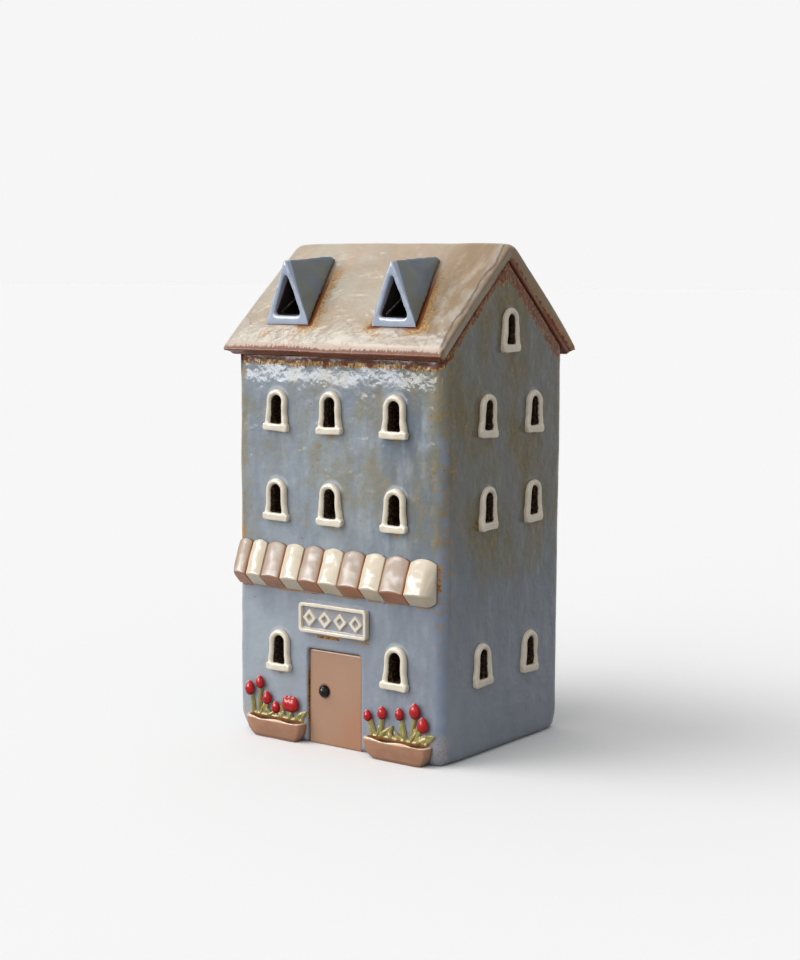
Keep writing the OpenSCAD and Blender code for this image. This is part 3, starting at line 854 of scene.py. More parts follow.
@dataclass(frozen=True)
class RoofGlaze:
    """Tan glaze that breaks to grey and ochre over brown edges, with a painted pale sheen along the eave."""

    coat: Coat = Coat.ROOF
    tan: str = "a8957f"
    pale: str = "b2a794"
    blush: str = "b39c87"
    lilac: str = "a39b93"
    pool_and_sheen: str = "bab4a9"
    lip: str = "b9a390"
    grey: str = "80786d"
    ochre: str = "a9804e"
    umber: str = "8f785c"
    gold: str = "c8a468"
    brown: str = "743f26"
    rust: str = "7c3a12"
    dark: str = "574535"
    maroon: str = "74280c"
    inside: str = "17100b"
    relief: float = 0.6
    shine: float = 0.25

    def build(self) -> bpy.types.Material:
        """Makes the material.

        Returns:
            The material.
        """
        g = Graph.material(self.coat.value, self.tan)
        x, y, z = g.axes
        depth = PLAN.below(PLAN.roof_apex, y, z)
        eave = PLAN.from_eave(y, z)
        verge = PLAN.verge - abs(x)
        mist = g.noise(6.0, 4.0, 0.6, seed=7)
        run = g.noise(7.0, 4.0, 0.6, (1, 0.5, 0.5), seed=13)
        g.lay(g.noise(24.0, 3.0, 0.5, seed=2).fade(0.38, 0.6), self.pale)
        g.lay(g.noise(17.0, 2.0, 0.5, seed=6).fade(0.5, 0.62) * 0.6, self.blush)
        g.lay(run.fade(0.5, 0.68) * 0.4, self.lilac)
        g.lay(x.fade(18.0, 36.0) * y.fade(3.0, -3.0) * run.fade(0.7, 0.44) * 0.95, self.umber)
        self.painted_sheen(g, eave, mist)
        self.round_dormers(g, mist)
        self.edges(g, depth, eave, verge, run)
        g.lay(g.dots(3.4, 0.03, 0.12) * 0.7, self.rust)
        in_x, in_y = PLAN.half_w - abs(x), PLAN.half_d - abs(y)
        shaded = depth.fade(5.2, 5.8) * in_x.fade(2.0, 4.0) * in_y.fade(3.0, 5.0)
        # Painted shade: the space under the slab and the dormer throats go near black.
        hidden = shaded.most(g.attribute("hollow"))
        g.lay(hidden, self.inside)
        rim = eave.fade(2.2, 1.2).most(verge.fade(2.2, 1.2))
        rough = run.fade(0.3, 0.8) * 0.06 + 0.12 + rim * 0.2 + hidden * 0.5
        relief = g.swells(0.75, 0.2) + g.noise(1.0, 3.0, 0.6, seed=3) * 0.05
        return g.finish(rough, relief, self.relief, self.shine)

    def painted_sheen(self, g: Graph, eave: Wire, mist: Wire) -> None:
        """Lays a painted sheen: pale wavy patches with thin grey outlines, mostly along the eave.

        Args:
            g: The material's graph.
            eave: Distance up the slope from the eave.
            mist: Coarse noise.
        """
        wave = g.noise(13.0, 2.4, 0.45, (1, 0.8, 0.8), seed=51)
        level = eave + (wave - 0.5) * 34.0 + (mist - 0.5) * 1.6
        fade = g.noise(8.0, 2.0, 0.5, seed=53).fade(0.4, 0.56)
        g.lay(level.fade(9.8, 8.2) * 0.45, self.pool_and_sheen)
        g.lay((level + (mist - 0.5) * 2.0).line(9.3, 0.7) * fade * 0.5, self.grey)
        inner = g.noise(6.0, 1.0, 0.5, (0.7, 1.6, 1.6), seed=57)
        g.lay(inner.line(0.62, 0.012) * eave.fade(12.0, 8.0) * fade * 0.6, self.grey)

    def round_dormers(self, g: Graph, mist: Wire) -> None:
        """Lays the crumbly ochre glaze and the thin dark line round the dormers.

        Args:
            g: The material's graph.
            mist: Coarse noise.
        """
        crumb = g.noise(0.8, 4.0, 0.7, seed=87)
        lee = g.attribute("lee")
        crumbs = (lee + (mist - 0.5) * 1.6).fade(0.3, 0.7) * lee.fade(0.02, 0.2)
        g.lay(crumbs * 0.75, self.ochre)
        g.lay(crumbs * crumb.fade(0.53, 0.6) * 0.85, self.gold)
        g.lay(crumbs * crumb.fade(0.45, 0.39) * 0.7, self.dark)
        seam = (g.attribute("seam") - crumb * 2.2 + 0.45).fade(0.15, -0.15)
        g.lay(seam * (lee * 1.3 + 0.1).least(0.85), self.rust)

    def edges(self, g: Graph, depth: Wire, eave: Wire, verge: Wire, run: Wire) -> None:
        """Lays the brown cut of the eave and the mottled faces of the verges.

        Args:
            g: The material's graph.
            depth: Depth below the top of the slab.
            eave: Distance up the slope from the eave.
            verge: Distance in from the verge.
            run: Noise drawn out down the slope.
        """
        x, y = g.axes[:2]
        wander = g.noise(9.0, 2.0, 0.5, seed=15)
        clot = g.noise(2.2, 4.0, 0.65, seed=27)
        comb = g.noise(0.7, 4.0, 0.7, (1, 0.3, 0.3), seed=31)
        scratch = g.noise(0.6, 2.0, 0.5, (1, 0.2, 0.2), seed=37).fade(0.68, 0.72)
        g.lay(verge.fade(7.5, 1.5) * run.fade(0.35, 0.6) * 0.6, self.lilac)
        crease = (verge + (wander - 0.5) * 5.0).line(2.6, 0.8) * run.fade(0.36, 0.5) * x.fade(0.0, 5.0)
        g.lay(crease * y.fade(2.0, -2.0) * 0.65, self.dark)
        g.lay(eave.fade(3.4, 2.2) * 0.7, self.lip)
        lip = depth - 0.4 - comb * 1.5
        cut = eave.fade(2.6, 1.6) * lip.fade(0.0, 0.25)
        soffit = (depth - comb).fade(4.5, 4.9)
        g.lay((cut + soffit).least(1.0), self.brown)
        g.lay(cut * scratch * 0.6, self.lip)
        g.lay(cut * lip.fade(0.7, 0.1) * comb.fade(0.45, 0.6) * 0.8, self.rust)
        face = verge.fade(1.9, 1.3) * depth.fade(0.8, 1.6)
        g.lay(face * 0.6, self.umber)
        low = depth - (clot - 0.5) * 4.0
        g.lay(face * low.fade(4.6, 5.1) * 0.9, self.rust)
        rear = face * y.fade(-1.0, 4.0)
        far = abs(y).fade(6.0, 40.0) * 2.2
        g.lay(rear * (low + far).fade(3.6, 4.2) * clot.fade(0.42, 0.5) * 0.85, self.ochre)
        g.lay(rear * (low + far * 0.4).fade(4.2, 4.6), self.maroon)


@dataclass(frozen=True)
class DormerGlaze:
    """Grey-blue glaze, pale in front, with painted shade on the cheeks and in the throat and a painted
    highlight along the front edges.
    """

    coat: Coat = Coat.DORMER
    front: str = "9fabbf"
    edge: str = "adb9ca"
    cheek: str = "65717e"
    olive: str = "6c7062"
    thin: str = "6c5a4a"
    throat: str = "a3a6bb"
    rust: str = "6a3a18"
    inside: str = "17100b"
    relief: float = 0.05

    def build(self) -> bpy.types.Material:
        """Makes the material.

        Returns:
            The material.
        """
        g = Graph.material(self.coat.value, self.front)
        mist = g.noise(6.0, 4.0, 0.6, seed=17)
        grit = g.noise(0.8, 3.0, 0.6, seed=4)
        g.lay(mist.fade(0.4, 0.66) * 0.5, self.edge)
        # Painted shade: the cheeks are laid slate and olive, darker than the front, as they turn from the
        # light.
        cheek_shade = g.blend(g.noise(9.0, 2.0, 0.5, seed=9).fade(0.42, 0.62) * 0.8, self.cheek, self.olive)
        g.lay(g.attribute("cheek").fade(0.35, 0.75), cheek_shade)
        # Painted highlight: a pale line along the front edges.
        g.lay(g.attribute("edge") * 0.7, self.edge)
        g.lay((g.attribute("seat") - grit * 0.8).fade(0.0, 0.3) * 0.7, self.thin)
        throat = g.attribute("throat")
        g.lay(throat.fade(0.2, 0.9) * 0.8, self.throat)
        deep = throat - (grit - 0.5) * 1.2
        # Painted shade: deep in the throat goes near black.
        hidden = deep.fade(2.8, 3.2)
        g.lay(deep.fade(2.3, 2.7), self.rust)
        g.lay(hidden, self.inside)
        relief = g.noise(2.4, 3.0, 0.5, seed=8) * 0.8 + grit * 0.2
        return g.finish(mist * 0.06 + 0.12 + hidden * 0.6, relief, self.relief)


@dataclass(frozen=True)
class ClayGlaze:
    """Glaze of one colour that changes at rims, low faces and where it meets the wall; the rim colour is a
    painted highlight on buds and troughs, the low colour painted shade under the buds, and the hollow colour
    painted shade.
    """

    coat: Coat
    main: str
    pool_and_sheen: str
    rim: str
    low: str
    seat: str
    rim_share: float = 0.8
    seat_share: float = 0.8
    grain: float = 4.0
    rough: float = 0.14
    relief: float = 0.05
    hollow: str = "20140b"
    fleck: str = "70502a"
    shine: float = 0.5

    def build(self) -> bpy.types.Material:
        """Makes the material.

        Returns:
            The material.
        """
        g = Graph.material(self.coat.value, self.main)
        mist = g.noise(self.grain, 4.0, 0.6, seed=17)
        grit = g.noise(0.8, 3.0, 0.6, seed=4)
        uneven = (mist - 0.5) * 0.9
        low, rim, seat, hollow = (g.attribute(name) for name in ("low", "rim", "seat", "hollow"))
        g.lay(mist.fade(0.4, 0.68), self.pool_and_sheen)
        g.lay((low + uneven * low).fade(0.3, 0.7), self.low)
        g.lay((rim + uneven * rim).fade(0.3, 0.8) * self.rim_share, self.rim)
        g.lay((seat - grit * 0.7).fade(0.0, 0.35) * self.seat_share, self.seat)
        # Painted shade: where the hollow mark is set, the glaze goes near black.
        g.lay((hollow - (grit - 0.5) * 0.8).fade(0.35, 0.65), g.clay_in_painted_shade(self.hollow, self.fleck))
        relief = g.noise(1.8, 3.0, 0.5, seed=8) * 0.8 + grit * 0.2
        return g.finish(mist * 0.06 + self.rough + hollow * 0.6, relief, self.relief, self.shine)


@dataclass(frozen=True)
class BareClay:
    """Unglazed stoneware."""

    coat: Coat = Coat.BARE
    main: str = "a08468"
    dark: str = "6d5440"
    rough: float = 0.85
    relief: float = 0.1

    def build(self) -> bpy.types.Material:
        """Makes the material.

        Returns:
            The material.
        """
        g = Graph.material(self.coat.value, self.main)
        g.lay(g.noise(9.0, 5.0, 0.6).fade(0.35, 0.7), self.dark)
        g.lay(g.dots(1.4, 0.15, 0.2), self.dark)
        return g.finish(self.rough, g.noise(0.7, 3.0, 0.7, seed=4), self.relief)


# Main, pool, rim, low and seat colours of each plain glaze, and what differs from the others
PLAIN_GLAZES = {
    Coat.CREAM: ("dfd4bf e7dcc9 bfae92 98999f 7d5f3c", {"rim_share": 0.6, "seat_share": 0.7, "rough": 0.12}),
    Coat.TAUPE: ("a08b76 998674 ae7245 a86c4a 642f18", {"rim_share": 0.9, "seat_share": 1.0, "rough": 0.22}),
    Coat.DOOR: ("aa836a ac8569 84502f ab7a5b 6b3f28", {"rim_share": 0.9, "grain": 9.0, "rough": 0.26}),
    Coat.KNOB: (
        "060608 0b0b0f 1b1b20 3a2416 4a2c18",
        {"rim_share": 0.3, "grain": 2.0, "rough": 0.06, "relief": 0.0, "shine": 0.25},
    ),
    Coat.TROUGH: ("a27457 aa7b5e e3c4a6 8d6148 5a3420", {"rim_share": 0.95, "rough": 0.1}),
    Coat.RED: (
        "ae0c12 bc161a f4c4c0 8a0d14 6a1010",
        {"rim_share": 0.85, "seat_share": 0.7, "grain": 1.6, "rough": 0.06, "shine": 0.25},
    ),
    Coat.GREEN: (
        "85894a b58d45 d8c48c 94652e 452811",
        {"rim_share": 0.85, "seat_share": 0.95, "grain": 1.5, "rough": 0.1},
    ),
}


def finishes() -> dict[Coat, bpy.types.Material]:
    """Makes every material.

    Returns:
        Materials by coat.
    """
    plain = [ClayGlaze(coat, *tones.split(), **rest) for coat, (tones, rest) in PLAIN_GLAZES.items()]
    glazes = [*plain, DormerGlaze(), WallGlaze(), RoofGlaze(), BareClay()]
    return {glaze.coat: glaze.build() for glaze in glazes}


# Sub-assemblies


@dataclass(frozen=True)
class Egg:
    """Smooth clay egg, slimmer at the top: a petal, a bud or a strand."""

    middle: np.ndarray
    radii: np.ndarray
    lean: float

    def build(self) -> bpy.types.Object:
        """Models the egg from a ball.

        Returns:
            The object.
        """
        bpy.ops.object.select_all(action="DESELECT")
        bpy.ops.mesh.primitive_uv_sphere_add(segments=20, ring_count=14, radius=1)
        ball = bpy.context.active_object
        rows = np.array([v.co for v in ball.data.vertices])
        slim = 1 - 0.2 * rows[:, 2:] - 0.12 * rows[:, 2:] ** 2
        rows = np.hstack([rows[:, :2] * slim, rows[:, 2:]]) * self.radii
        turn = np.array(Matrix.Rotation(math.radians(self.lean), 3, "Y"))
        move(ball.data, rows @ turn.T + self.middle)
        return ball


def islands(node: str) -> list[tuple[np.ndarray, np.ndarray]]:
    """Gives the boxes of a node's loose parts, in millimetres.

    Args:
        node: The node.

    Returns:
        Low and high corner of each part.
    """
    Lump("islands", [node], Coat.BARE)
    with all_in_edit():
        bpy.ops.mesh.separate(type="LOOSE")
    boxes = []
    for part in list(bpy.context.selected_objects):
        rows = places(part.data)
        boxes.append((rows.min(0), rows.max(0)))
        bpy.data.objects.remove(part)
    return boxes


@dataclass
class Assembly:
    """Pieces that are made together."""

    coats: dict[Coat, bpy.types.Material]


@dataclass
class Body(Assembly):
    """Four walls, worked as one form and then cut where the slabs meet."""

    voxel: float = 0.6
    passes: int = 3
    soft: tuple[Wobble, ...] = (Wobble(28.0, 0.6), Wobble(9.0, 0.1))
    stub: float = 0.5
    toe: float = 9.0
    toe_run: float = 12.0
    toe_pull: tuple[float, float] = (2.8, 1.5)
    flat_foot: float = 0.25
    corner: float = 4.5
    foot: float = 2.5
    skin: float = 0.35
    door_gap: float = 1.5
    door_pocket: float = 2.6
    curl: float = 12.0
    curl_end: float = 3.0
    lean: float = 0.72
    coil_half: float = 4.4
    opening_half: float = 3.4
    sill: float = 1.2
    face_reach: float = 4.0
    arc_inner: float = 3.0
    arc_width: float = 1.7
    arc_rise: float = 2.5
    arc_on_gables: float = 0.45
    spot_half: float = 1.6
    spot_drop: float = 0.7
    spot_height: float = 0.9
    spot_top: float = 0.3
    line: float = 0.8
    jamb: float = 0.7

    def build(self) -> None:
        """Models and dresses the walls."""
        nodes = ("front_wall", "rear_wall", "left_gable_wall", "right_gable_wall")
        whole = Lump("walls", nodes, Coat.WALL).slip(self.voxel, self.passes)
        rows = whole.points()
        arc, spot, opening = self.windows(rows)
        halo = np.maximum(arc, self.over_sign(rows))
        inside = np.maximum(self.inside(rows), opening)
        whole.mark(halo=halo, spot=spot, lick=self.licks(rows), inside=inside)
        whole.wobble(*self.soft).shape(self.settle)
        inner = PLAN.half_d - PLAN.wall_t - self.stub
        front, rear, middle = (0, -inner, 0), (0, inner, 0), (0, 0, 0)
        between = [(front, (0, -1, 0)), (rear, (0, 1, 0))]
        cuts = (
            [(front, (0, 1, 0))],
            [(rear, (0, -1, 0))],
            [*between, (middle, (1, 0, 0))],
            [*between, (middle, (-1, 0, 0))],
        )
        for node, planes in zip(nodes, cuts):
            whole.part(f"{node}_glazed", node, planes).dress(self.coats)
        whole.discard()

    def settle(self, rows: np.ndarray) -> np.ndarray:
        """Rounds the lower corners, leans the front's top back and keeps the foot flat on the table.

        Args:
            rows: Vertices in millimetres.

        Returns:
            The vertices in their new places.
        """
        x, y, z = rows.T
        in_x, in_y = PLAN.half_w - np.abs(x), PLAN.half_d - np.abs(y)
        cornered = unit(1 - in_x / self.toe_run) * unit(1 - in_y / self.toe_run)
        pull = np.where(x < 0, *self.toe_pull) * unit(1 - z / self.toe) ** 2 * cornered
        rise = unit((z - PLAN.wall_top + self.curl) / (self.curl - self.curl_end))
        lean = self.lean * rise**2 * (3 - 2 * rise) * (y < 1 - PLAN.half_d)
        flat = np.where(z < self.flat_foot, 0.0, z)
        return np.stack([x - np.sign(x) * pull, y - np.sign(y) * pull + lean, flat], axis=1)

    def inside(self, rows: np.ndarray) -> np.ndarray:
        """Finds what lies behind the glazed face, the reveals of the openings and the hollow, which the
        glaze paints near black as shade.

        Args:
            rows: Vertices in millimetres.

        Returns:
            Strength at each vertex, from 0 to 1.
        """
        x, y, z = np.abs(rows.T)
        past = np.stack([x - PLAN.half_w + self.corner, y - PLAN.half_d + self.corner])
        depth = self.corner - np.hypot(*np.maximum(past, 0)) - np.minimum(past.max(0), 0)
        rise = np.clip(self.foot - z, 0, self.foot)
        depth -= self.foot - np.sqrt(self.foot**2 - rise**2)
        low, high = span("door_slab")
        gap = self.door_gap
        beside = (rows[:, 0] > low[0] - gap) & (rows[:, 0] < high[0] + gap) & (z < high[2] + gap)
        pocket = beside & (rows[:, 1] < 0) & (depth < self.door_pocket)
        return unit((depth - self.skin) / 0.5) * ~pocket

    def windows(self, rows: np.ndarray) -> np.ndarray:
        """Finds the pale arcs over the windows, painted highlights, the burnt spots under their sills and
        their reveals, painted dark as shade.

        Args:
            rows: Vertices in millimetres.

        Returns:
            Strength of each at each vertex, one row each.
        """
        found = np.zeros((3, len(rows)))
        for node in nodes_with("window_"):
            low, high = span(node)
            along = axis_along(node)
            out = 1 - along
            face = np.abs(rows[:, out] - (low[out] + high[out]) / 2) < self.face_reach
            across = rows[:, along] - (low[along] + high[along]) / 2
            over = rows[:, 2] - (high[2] - self.coil_half)
            radius = np.hypot(across, np.maximum(over, 0))
            ring = unit(1 - np.maximum(radius - self.coil_half, 0) / self.arc_width)
            arc = ring * (radius > self.arc_inner) * unit(over / self.arc_rise)
            drop = low[2] - rows[:, 2]
            round_spot = bell(across, self.spot_half) * bell(drop - self.spot_drop, self.spot_height)
            spot = round_spot * (drop > -self.spot_top)
            reveal = (radius < self.opening_half) & (drop < -self.sill) & (rows[:, 2] < high[2])
            here = np.stack([arc * (self.arc_on_gables if along else 1.0), spot, reveal])
            found = np.maximum(found, here * face)
        return found

    def over_sign(self, rows: np.ndarray) -> np.ndarray:
        """Finds the pale line over the sign, a painted highlight partly of pooled glaze.

        Args:
            rows: Vertices in millimetres.

        Returns:
            Strength at each vertex, from 0 to 1.
        """
        low, high = span("sign_board")
        ends = unit(np.minimum(rows[:, 0] - low[0] + 1, high[0] + 1 - rows[:, 0]) / 4)
        band = unit(1 - np.abs(rows[:, 2] - high[2] - 0.5) / self.line)
        return band * ends * (rows[:, 1] < 0) * 0.6

    def licks(self, rows: np.ndarray) -> np.ndarray:
        """Finds the ragged burnt lines under the sign, round the awning and in the door's pocket.

        Args:
            rows: Vertices in millimetres.

        Returns:
            Strength at each vertex, from 0 to 1.
        """
        x, y, z = rows.T
        outer = y < -PLAN.half_d + 3
        low, high = span("sign_board")
        under_sign = bell(low[2] - z - 1.3, 1.0) * (x > low[0] + 5) * (x < high[0]) * (y < 0) * 0.62
        start, end = span("awning_stripe_1")[0], span("awning_stripe_10")[1]
        past = np.maximum(np.maximum(start[2] - z, z - end[2] + 1), 0)
        right = unit(1.3 - np.hypot(x - end[0] - 0.3, past)) * 0.6 * (y < 0)
        under = unit(1 - np.abs(start[2] - z - 0.5) / self.line)
        lower = under * 0.55 * (x > start[0]) * (x < end[0]) * outer
        left = unit(1.5 - np.hypot((x + PLAN.half_w) / 5, (z - end[2] - 2.5) / 4)) * 0.62 * outer
        low, high = span("door_slab")
        jamb = unit(1 - np.abs(x - low[0] + 0.2) / self.jamb) * (z < high[2])
        head = unit(1 - np.abs(z - high[2] - 0.2) / self.jamb) * 0.8 * (x > low[0]) * (x < high[0])
        pocket = np.maximum(jamb, head) * (y > -PLAN.half_d + 0.4) * outer * 0.6
        return np.maximum.reduce([under_sign, right, lower, left, pocket])


@dataclass
class Roof(Assembly):
    """Two roof slabs that meet in a rounded ridge."""

    voxel: float = 0.55
    passes: int = 13
    soft: tuple[Wobble, ...] = (Wobble(26.0, 0.7, True), Wobble(8.0, 0.12, True))
    reach: float = 9.0
    sag: float = 0.7
    sag_run: float = 15.0
    end_start: float = 9.0
    end_run: float = 12.0
    ridge_run: float = 22.0
    lip: float = 1.3
    lip_run: float = 3.5
    side: float = 1.0
    side_run: float = 3.0
    lee_run: float = 7.0
    lee_half: float = 20.0
    dormer_shell: float = 1.2
    dormer_face: float = 2.2

    def build(self) -> None:
        """Models and dresses the slabs."""
        whole = Lump("roof", ["front_roof_slab", "rear_roof_slab"], Coat.ROOF).slip(self.voxel, self.passes)
        seam = whole.near(nodes_with("left_dormer", "right_dormer"), self.reach)
        lee, hollow = self.round_dormers(whole.points(), seam)
        whole.mark(seam=seam, lee=lee, hollow=hollow).wobble(*self.soft).shape(self.droop)
        for end, way in (("front", 1), ("rear", -1)):
            ridge = [((0, 0, 0), (0, way, 0))]
            whole.part(f"{end}_roof_glazed", f"{end}_roof_slab", ridge).dress(self.coats)
        whole.discard()

    def droop(self, rows: np.ndarray) -> np.ndarray:
        """Lets the slabs sag a little towards the eaves and the ridge's ends.

        Args:
            rows: Vertices in millimetres.

        Returns:
            The vertices in their new places.
        """
        x, y, z = rows.T
        eave, verge = PLAN.from_eave(y, z), PLAN.verge - np.abs(x)
        sag = self.sag * unit(1 - eave / self.sag_run) ** 2
        ends = unit((np.abs(x) - PLAN.half_w + self.end_start) / self.end_run) ** 2
        ends *= unit(1 - np.abs(y) / self.ridge_run)
        upper = unit(1 - PLAN.below(PLAN.roof_apex, y, z) / self.lip_run)
        lip = self.lip * unit(1 - eave / self.lip_run) ** 2
        side = self.side * unit(1 - verge / self.side_run) ** 2
        rows[:, 2] -= sag + ends + np.maximum(lip, side) * upper
        return rows

    def round_dormers(self, rows: np.ndarray, seam: np.ndarray) -> np.ndarray:
        """Finds the crumbly glaze beside and below the dormers, and their throats in the slab, painted dark
        as shade.

        Args:
            rows: Vertices in millimetres.
            seam: Distance of each vertex from the dormers.

        Returns:
            Strength of both at each vertex, one row each.
        """
        x, y, z = rows.T
        found = np.zeros((2, len(rows)))
        for node in ("left_dormer", "right_dormer"):
            low, high = span(node)
            middle, half = (low[0] + high[0]) / 2, (high[0] - low[0]) / 2
            right = unit((x - middle - 3) / 4)
            below = unit((low[1] + 1 - y) / 2) * 0.9
            left = unit((middle - 5 - x) / 3) * unit((low[1] + 9 - y) / 4) * (middle > 0) * 0.8
            close = unit(1 - seam / self.lee_run) * (np.abs(x - middle) < self.lee_half)
            lee = np.maximum.reduce([right, below, left]) * close
            back = y - low[1]
            corners = places(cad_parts[node].data)
            peak = corners[corners[:, 1] < low[1] + 2.5, 2].max()
            rise = z - back * DORMER_TILT - low[2]
            shell = half * (1 - rise / (peak - low[2])) - np.abs(x - middle)
            hollow = (shell > self.dormer_shell) & (back > self.dormer_face) & (y < 0)
            found = np.maximum(found, np.stack([lee, hollow]))
        return found


@dataclass
class Windows(Assembly):
    """Coils and sills round the windows, each bent by hand."""

    voxel: float = 0.25
    passes: int = 12
    soft: Wobble = Wobble(5.0, 0.45)
    first_seed: int = 100
    crown: float = 4.5
    opening: float = 3.6
    sill_half: float = 2.6
    sill_drop: float = 7.0

    def build(self) -> None:
        """Models and dresses them all."""
        for number, node in enumerate(nodes_with("window_")):
            self.window(node, np.random.default_rng(self.first_seed + number))

    def window(self, node: str, chance: np.random.Generator) -> None:
        """Bends one window's coil and sill by hand.

        Args:
            node: Node of the window.
            chance: Source of this window's own shape.
        """
        lump = Lump(f"{node}_coil", [node], Coat.CREAM).slip(self.voxel, self.passes)
        lean, tilt, flare, sill, squash = chance.uniform(-1, 1, 5)
        along = axis_along(node)
        low, high = span(node)
        middle = (low[along] + high[along]) / 2
        hollow = self.hollow(lump, along, middle, high[2])

        def bend(rows: np.ndarray) -> np.ndarray:
            """Leans, flares and squashes the coil.

            Args:
                rows: Vertices in millimetres.

            Returns:
                The vertices in their new places.
            """
            u = rows[:, along] - middle
            v = rows[:, 2] - low[2]
            foot = bell(v, 3.4)
            rows[:, along] += u * (0.03 + 0.04 * flare) * bell(v - 5, 4) + u * 0.04 * (1.5 + sill) * foot
            rows[:, along] -= u * 0.05 * unit((v - 3) / 3)
            rows[:, along] += u * (0.06 * bell(v - 4.0, 1.6) - 0.05 * unit(1 - v / 2.6))
            rows[:, along] += lean * 0.03 * (v - 6)
            rows[:, 2] += tilt * 0.045 * u * foot - 0.22 * (1 + squash) * unit((v - 10) / 5)
            return rows

        rows = lump.shape(bend).wobble(self.soft).points()
        behind = PLAN.half_w - np.abs(rows[:, 0]) if along else behind_front(rows)
        lump.mark(seat=seated(behind, 0.6), hollow=hollow).dress(self.coats)

    def hollow(self, lump: Lump, along: int, middle: float, top: float) -> np.ndarray:
        """Finds the inner side of a window's coil and the top of its sill, painted near black as shade in
        the window hole.

        Args:
            lump: The coil.
            along: Axis that runs along its wall.
            middle: Place of the window on that axis.
            top: Height of the coil's top.

        Returns:
            Strength at each vertex.
        """
        rows, ways = lump.points(), lump.normals()
        u = rows[:, along] - middle
        v = np.maximum(rows[:, 2] - top + self.crown, 0)
        radius = np.hypot(u, v) + 1e-6
        inward = -(ways[:, along] * u + ways[:, 2] * v) / radius
        proud = np.abs(rows[:, 1 - along]) - (PLAN.half_w if along else PLAN.half_d)
        side = unit((inward - 0.3) / 0.3) * (radius < self.opening)
        level = unit((ways[:, 2] - 0.5) / 0.3) * (rows[:, 2] < top - self.sill_drop)
        floor = (np.abs(u) < self.sill_half) * level
        return unit(np.maximum(side, floor) * (1.35 - proud / 1.3))


@dataclass
class Awning(Assembly):
    """Ten pillowed stripes, taupe and cream by turns."""

    voxel: float = 0.3
    passes: int = 8
    soft: Wobble = Wobble(6.0, 0.35, True)
    valance: float = 5.4
    cap: float = 5.0
    cream_cap: float = 0.9
    taupe_cap: float = 1.5
    cream_rim: float = 0.75
    rounded: str = "awning_stripe_10"
    end_run: float = 4.0
    end_pull: float = 0.6
    end_lift: float = 0.4

    def build(self) -> None:
        """Models and dresses them all."""
        for node in nodes_with("awning_stripe_"):
            self.stripe(node, taupe=int(node.rsplit("_", 1)[1]) % 2 == 1)

    def stripe(self, node: str, taupe: bool) -> None:
        """Softens one stripe and marks its edges.

        Args:
            node: Node of the stripe.
            taupe: Whether it is a taupe one.
        """
        coat = Coat.TAUPE if taupe else Coat.CREAM
        lump = Lump(f"{node}_glazed", [node], coat).slip(self.voxel, self.passes)
        rows = lump.points()
        x, _, z = rows.T
        rim = unit(1.2 - np.minimum(x - x.min(), x.max() - x) / 1.1)
        low = unit(PLAN.awning_low + self.valance - z) * taupe
        behind = behind_front(rows)
        cap = seated(behind, self.taupe_cap if taupe else self.cream_cap) * (z > PLAN.awning_high - self.cap)
        seat = np.maximum(seated(behind, 0.7), cap)
        lump.mark(rim=rim if taupe else np.maximum(rim, self.cream_rim), low=low, seat=seat)
        if node == self.rounded:
            lump.shape(self.round_end)
        lump.wobble(self.soft).dress(self.coats)

    def round_end(self, rows: np.ndarray) -> np.ndarray:
        """Draws in the free end of the last stripe.

        Args:
            rows: Vertices in millimetres.

        Returns:
            The vertices in their new places.
        """
        turn = unit(1 - np.abs(rows[:, 0].max() - rows[:, 0]) / self.end_run) ** 2
        rows[:, 1] += np.maximum(-behind_front(rows), 0) * turn * self.end_pull
        rows[:, 2] += np.maximum(PLAN.awning_low + 5 - rows[:, 2], 0) * turn * self.end_lift
        return rows


@dataclass
class Dormers(Assembly):
    """Two hollow three-sided dormers."""

    voxel: float = 0.4
    passes: int = 30
    soft: Wobble = Wobble(9.0, 0.5, True)
    shell: float = 1.6
    lip: float = 2.5
    sink: float = 0.9
    sink_run: float = 3.0
    rear_drop: float = 3.4
    rear_run: float = 5.0
    crest_run: float = 7.0

    def build(self) -> None:
        """Models and dresses both."""
        for node in ("left_dormer", "right_dormer"):
            self.dormer(node)

    def dormer(self, node: str) -> None:
        """Softens one dormer and marks its front, cheeks and throat.

        Args:
            node: Node of the dormer.
        """
        lump = Lump(f"{node}_glazed", [node], Coat.DORMER).slip(self.voxel, self.passes)
        low, high = span(node)
        x, y, z = lump.points().T
        aside, ahead = lump.normals().T[:2]
        back = np.maximum(y - (low[1] + (z - low[2]) * DORMER_TILT), 0)
        half = (high[0] - low[0]) / 2
        shell = half * (1 - (z - low[2]) / (high[2] - low[2])) - np.abs(x - (low[0] + high[0]) / 2)
        inner = (shell > self.shell) & ((ahead > -0.7) | (back > self.lip))
        # The cheeks are marked for painted shade and the front edges for a painted highlight.
        cheek = unit(np.abs(aside) * 1.2) * ~inner * unit((back - 0.4) / 1.2)
        edge = bell(back - 0.5, 0.7) * (shell < self.shell)
        seat = seated(PLAN.below(PLAN.roof_apex, y, z), 0.8)
        lump.mark(cheek=cheek, edge=edge, throat=back * inner, seat=seat)

        def settle(rows: np.ndarray) -> np.ndarray:
            """Sinks the foot into the roof and lowers the rear end of the crest.

            Args:
                rows: Vertices in millimetres.

            Returns:
                The vertices in their new places.
            """
            end = (high[2] - PLAN.roof_apex) / math.tan(PLAN.slope)
            rear = np.clip((y - end + self.rear_run) / self.rear_run, 0, 1.2) ** 2
            crest = unit((z - high[2] + self.crest_run) / self.crest_run)
            rows[:, 2] -= self.sink * unit((low[2] + self.sink_run - z) / self.sink_run)
            rows[:, 2] -= self.rear_drop * rear * crest
            return rows

        lump.shape(settle).wobble(self.soft).dress(self.coats)


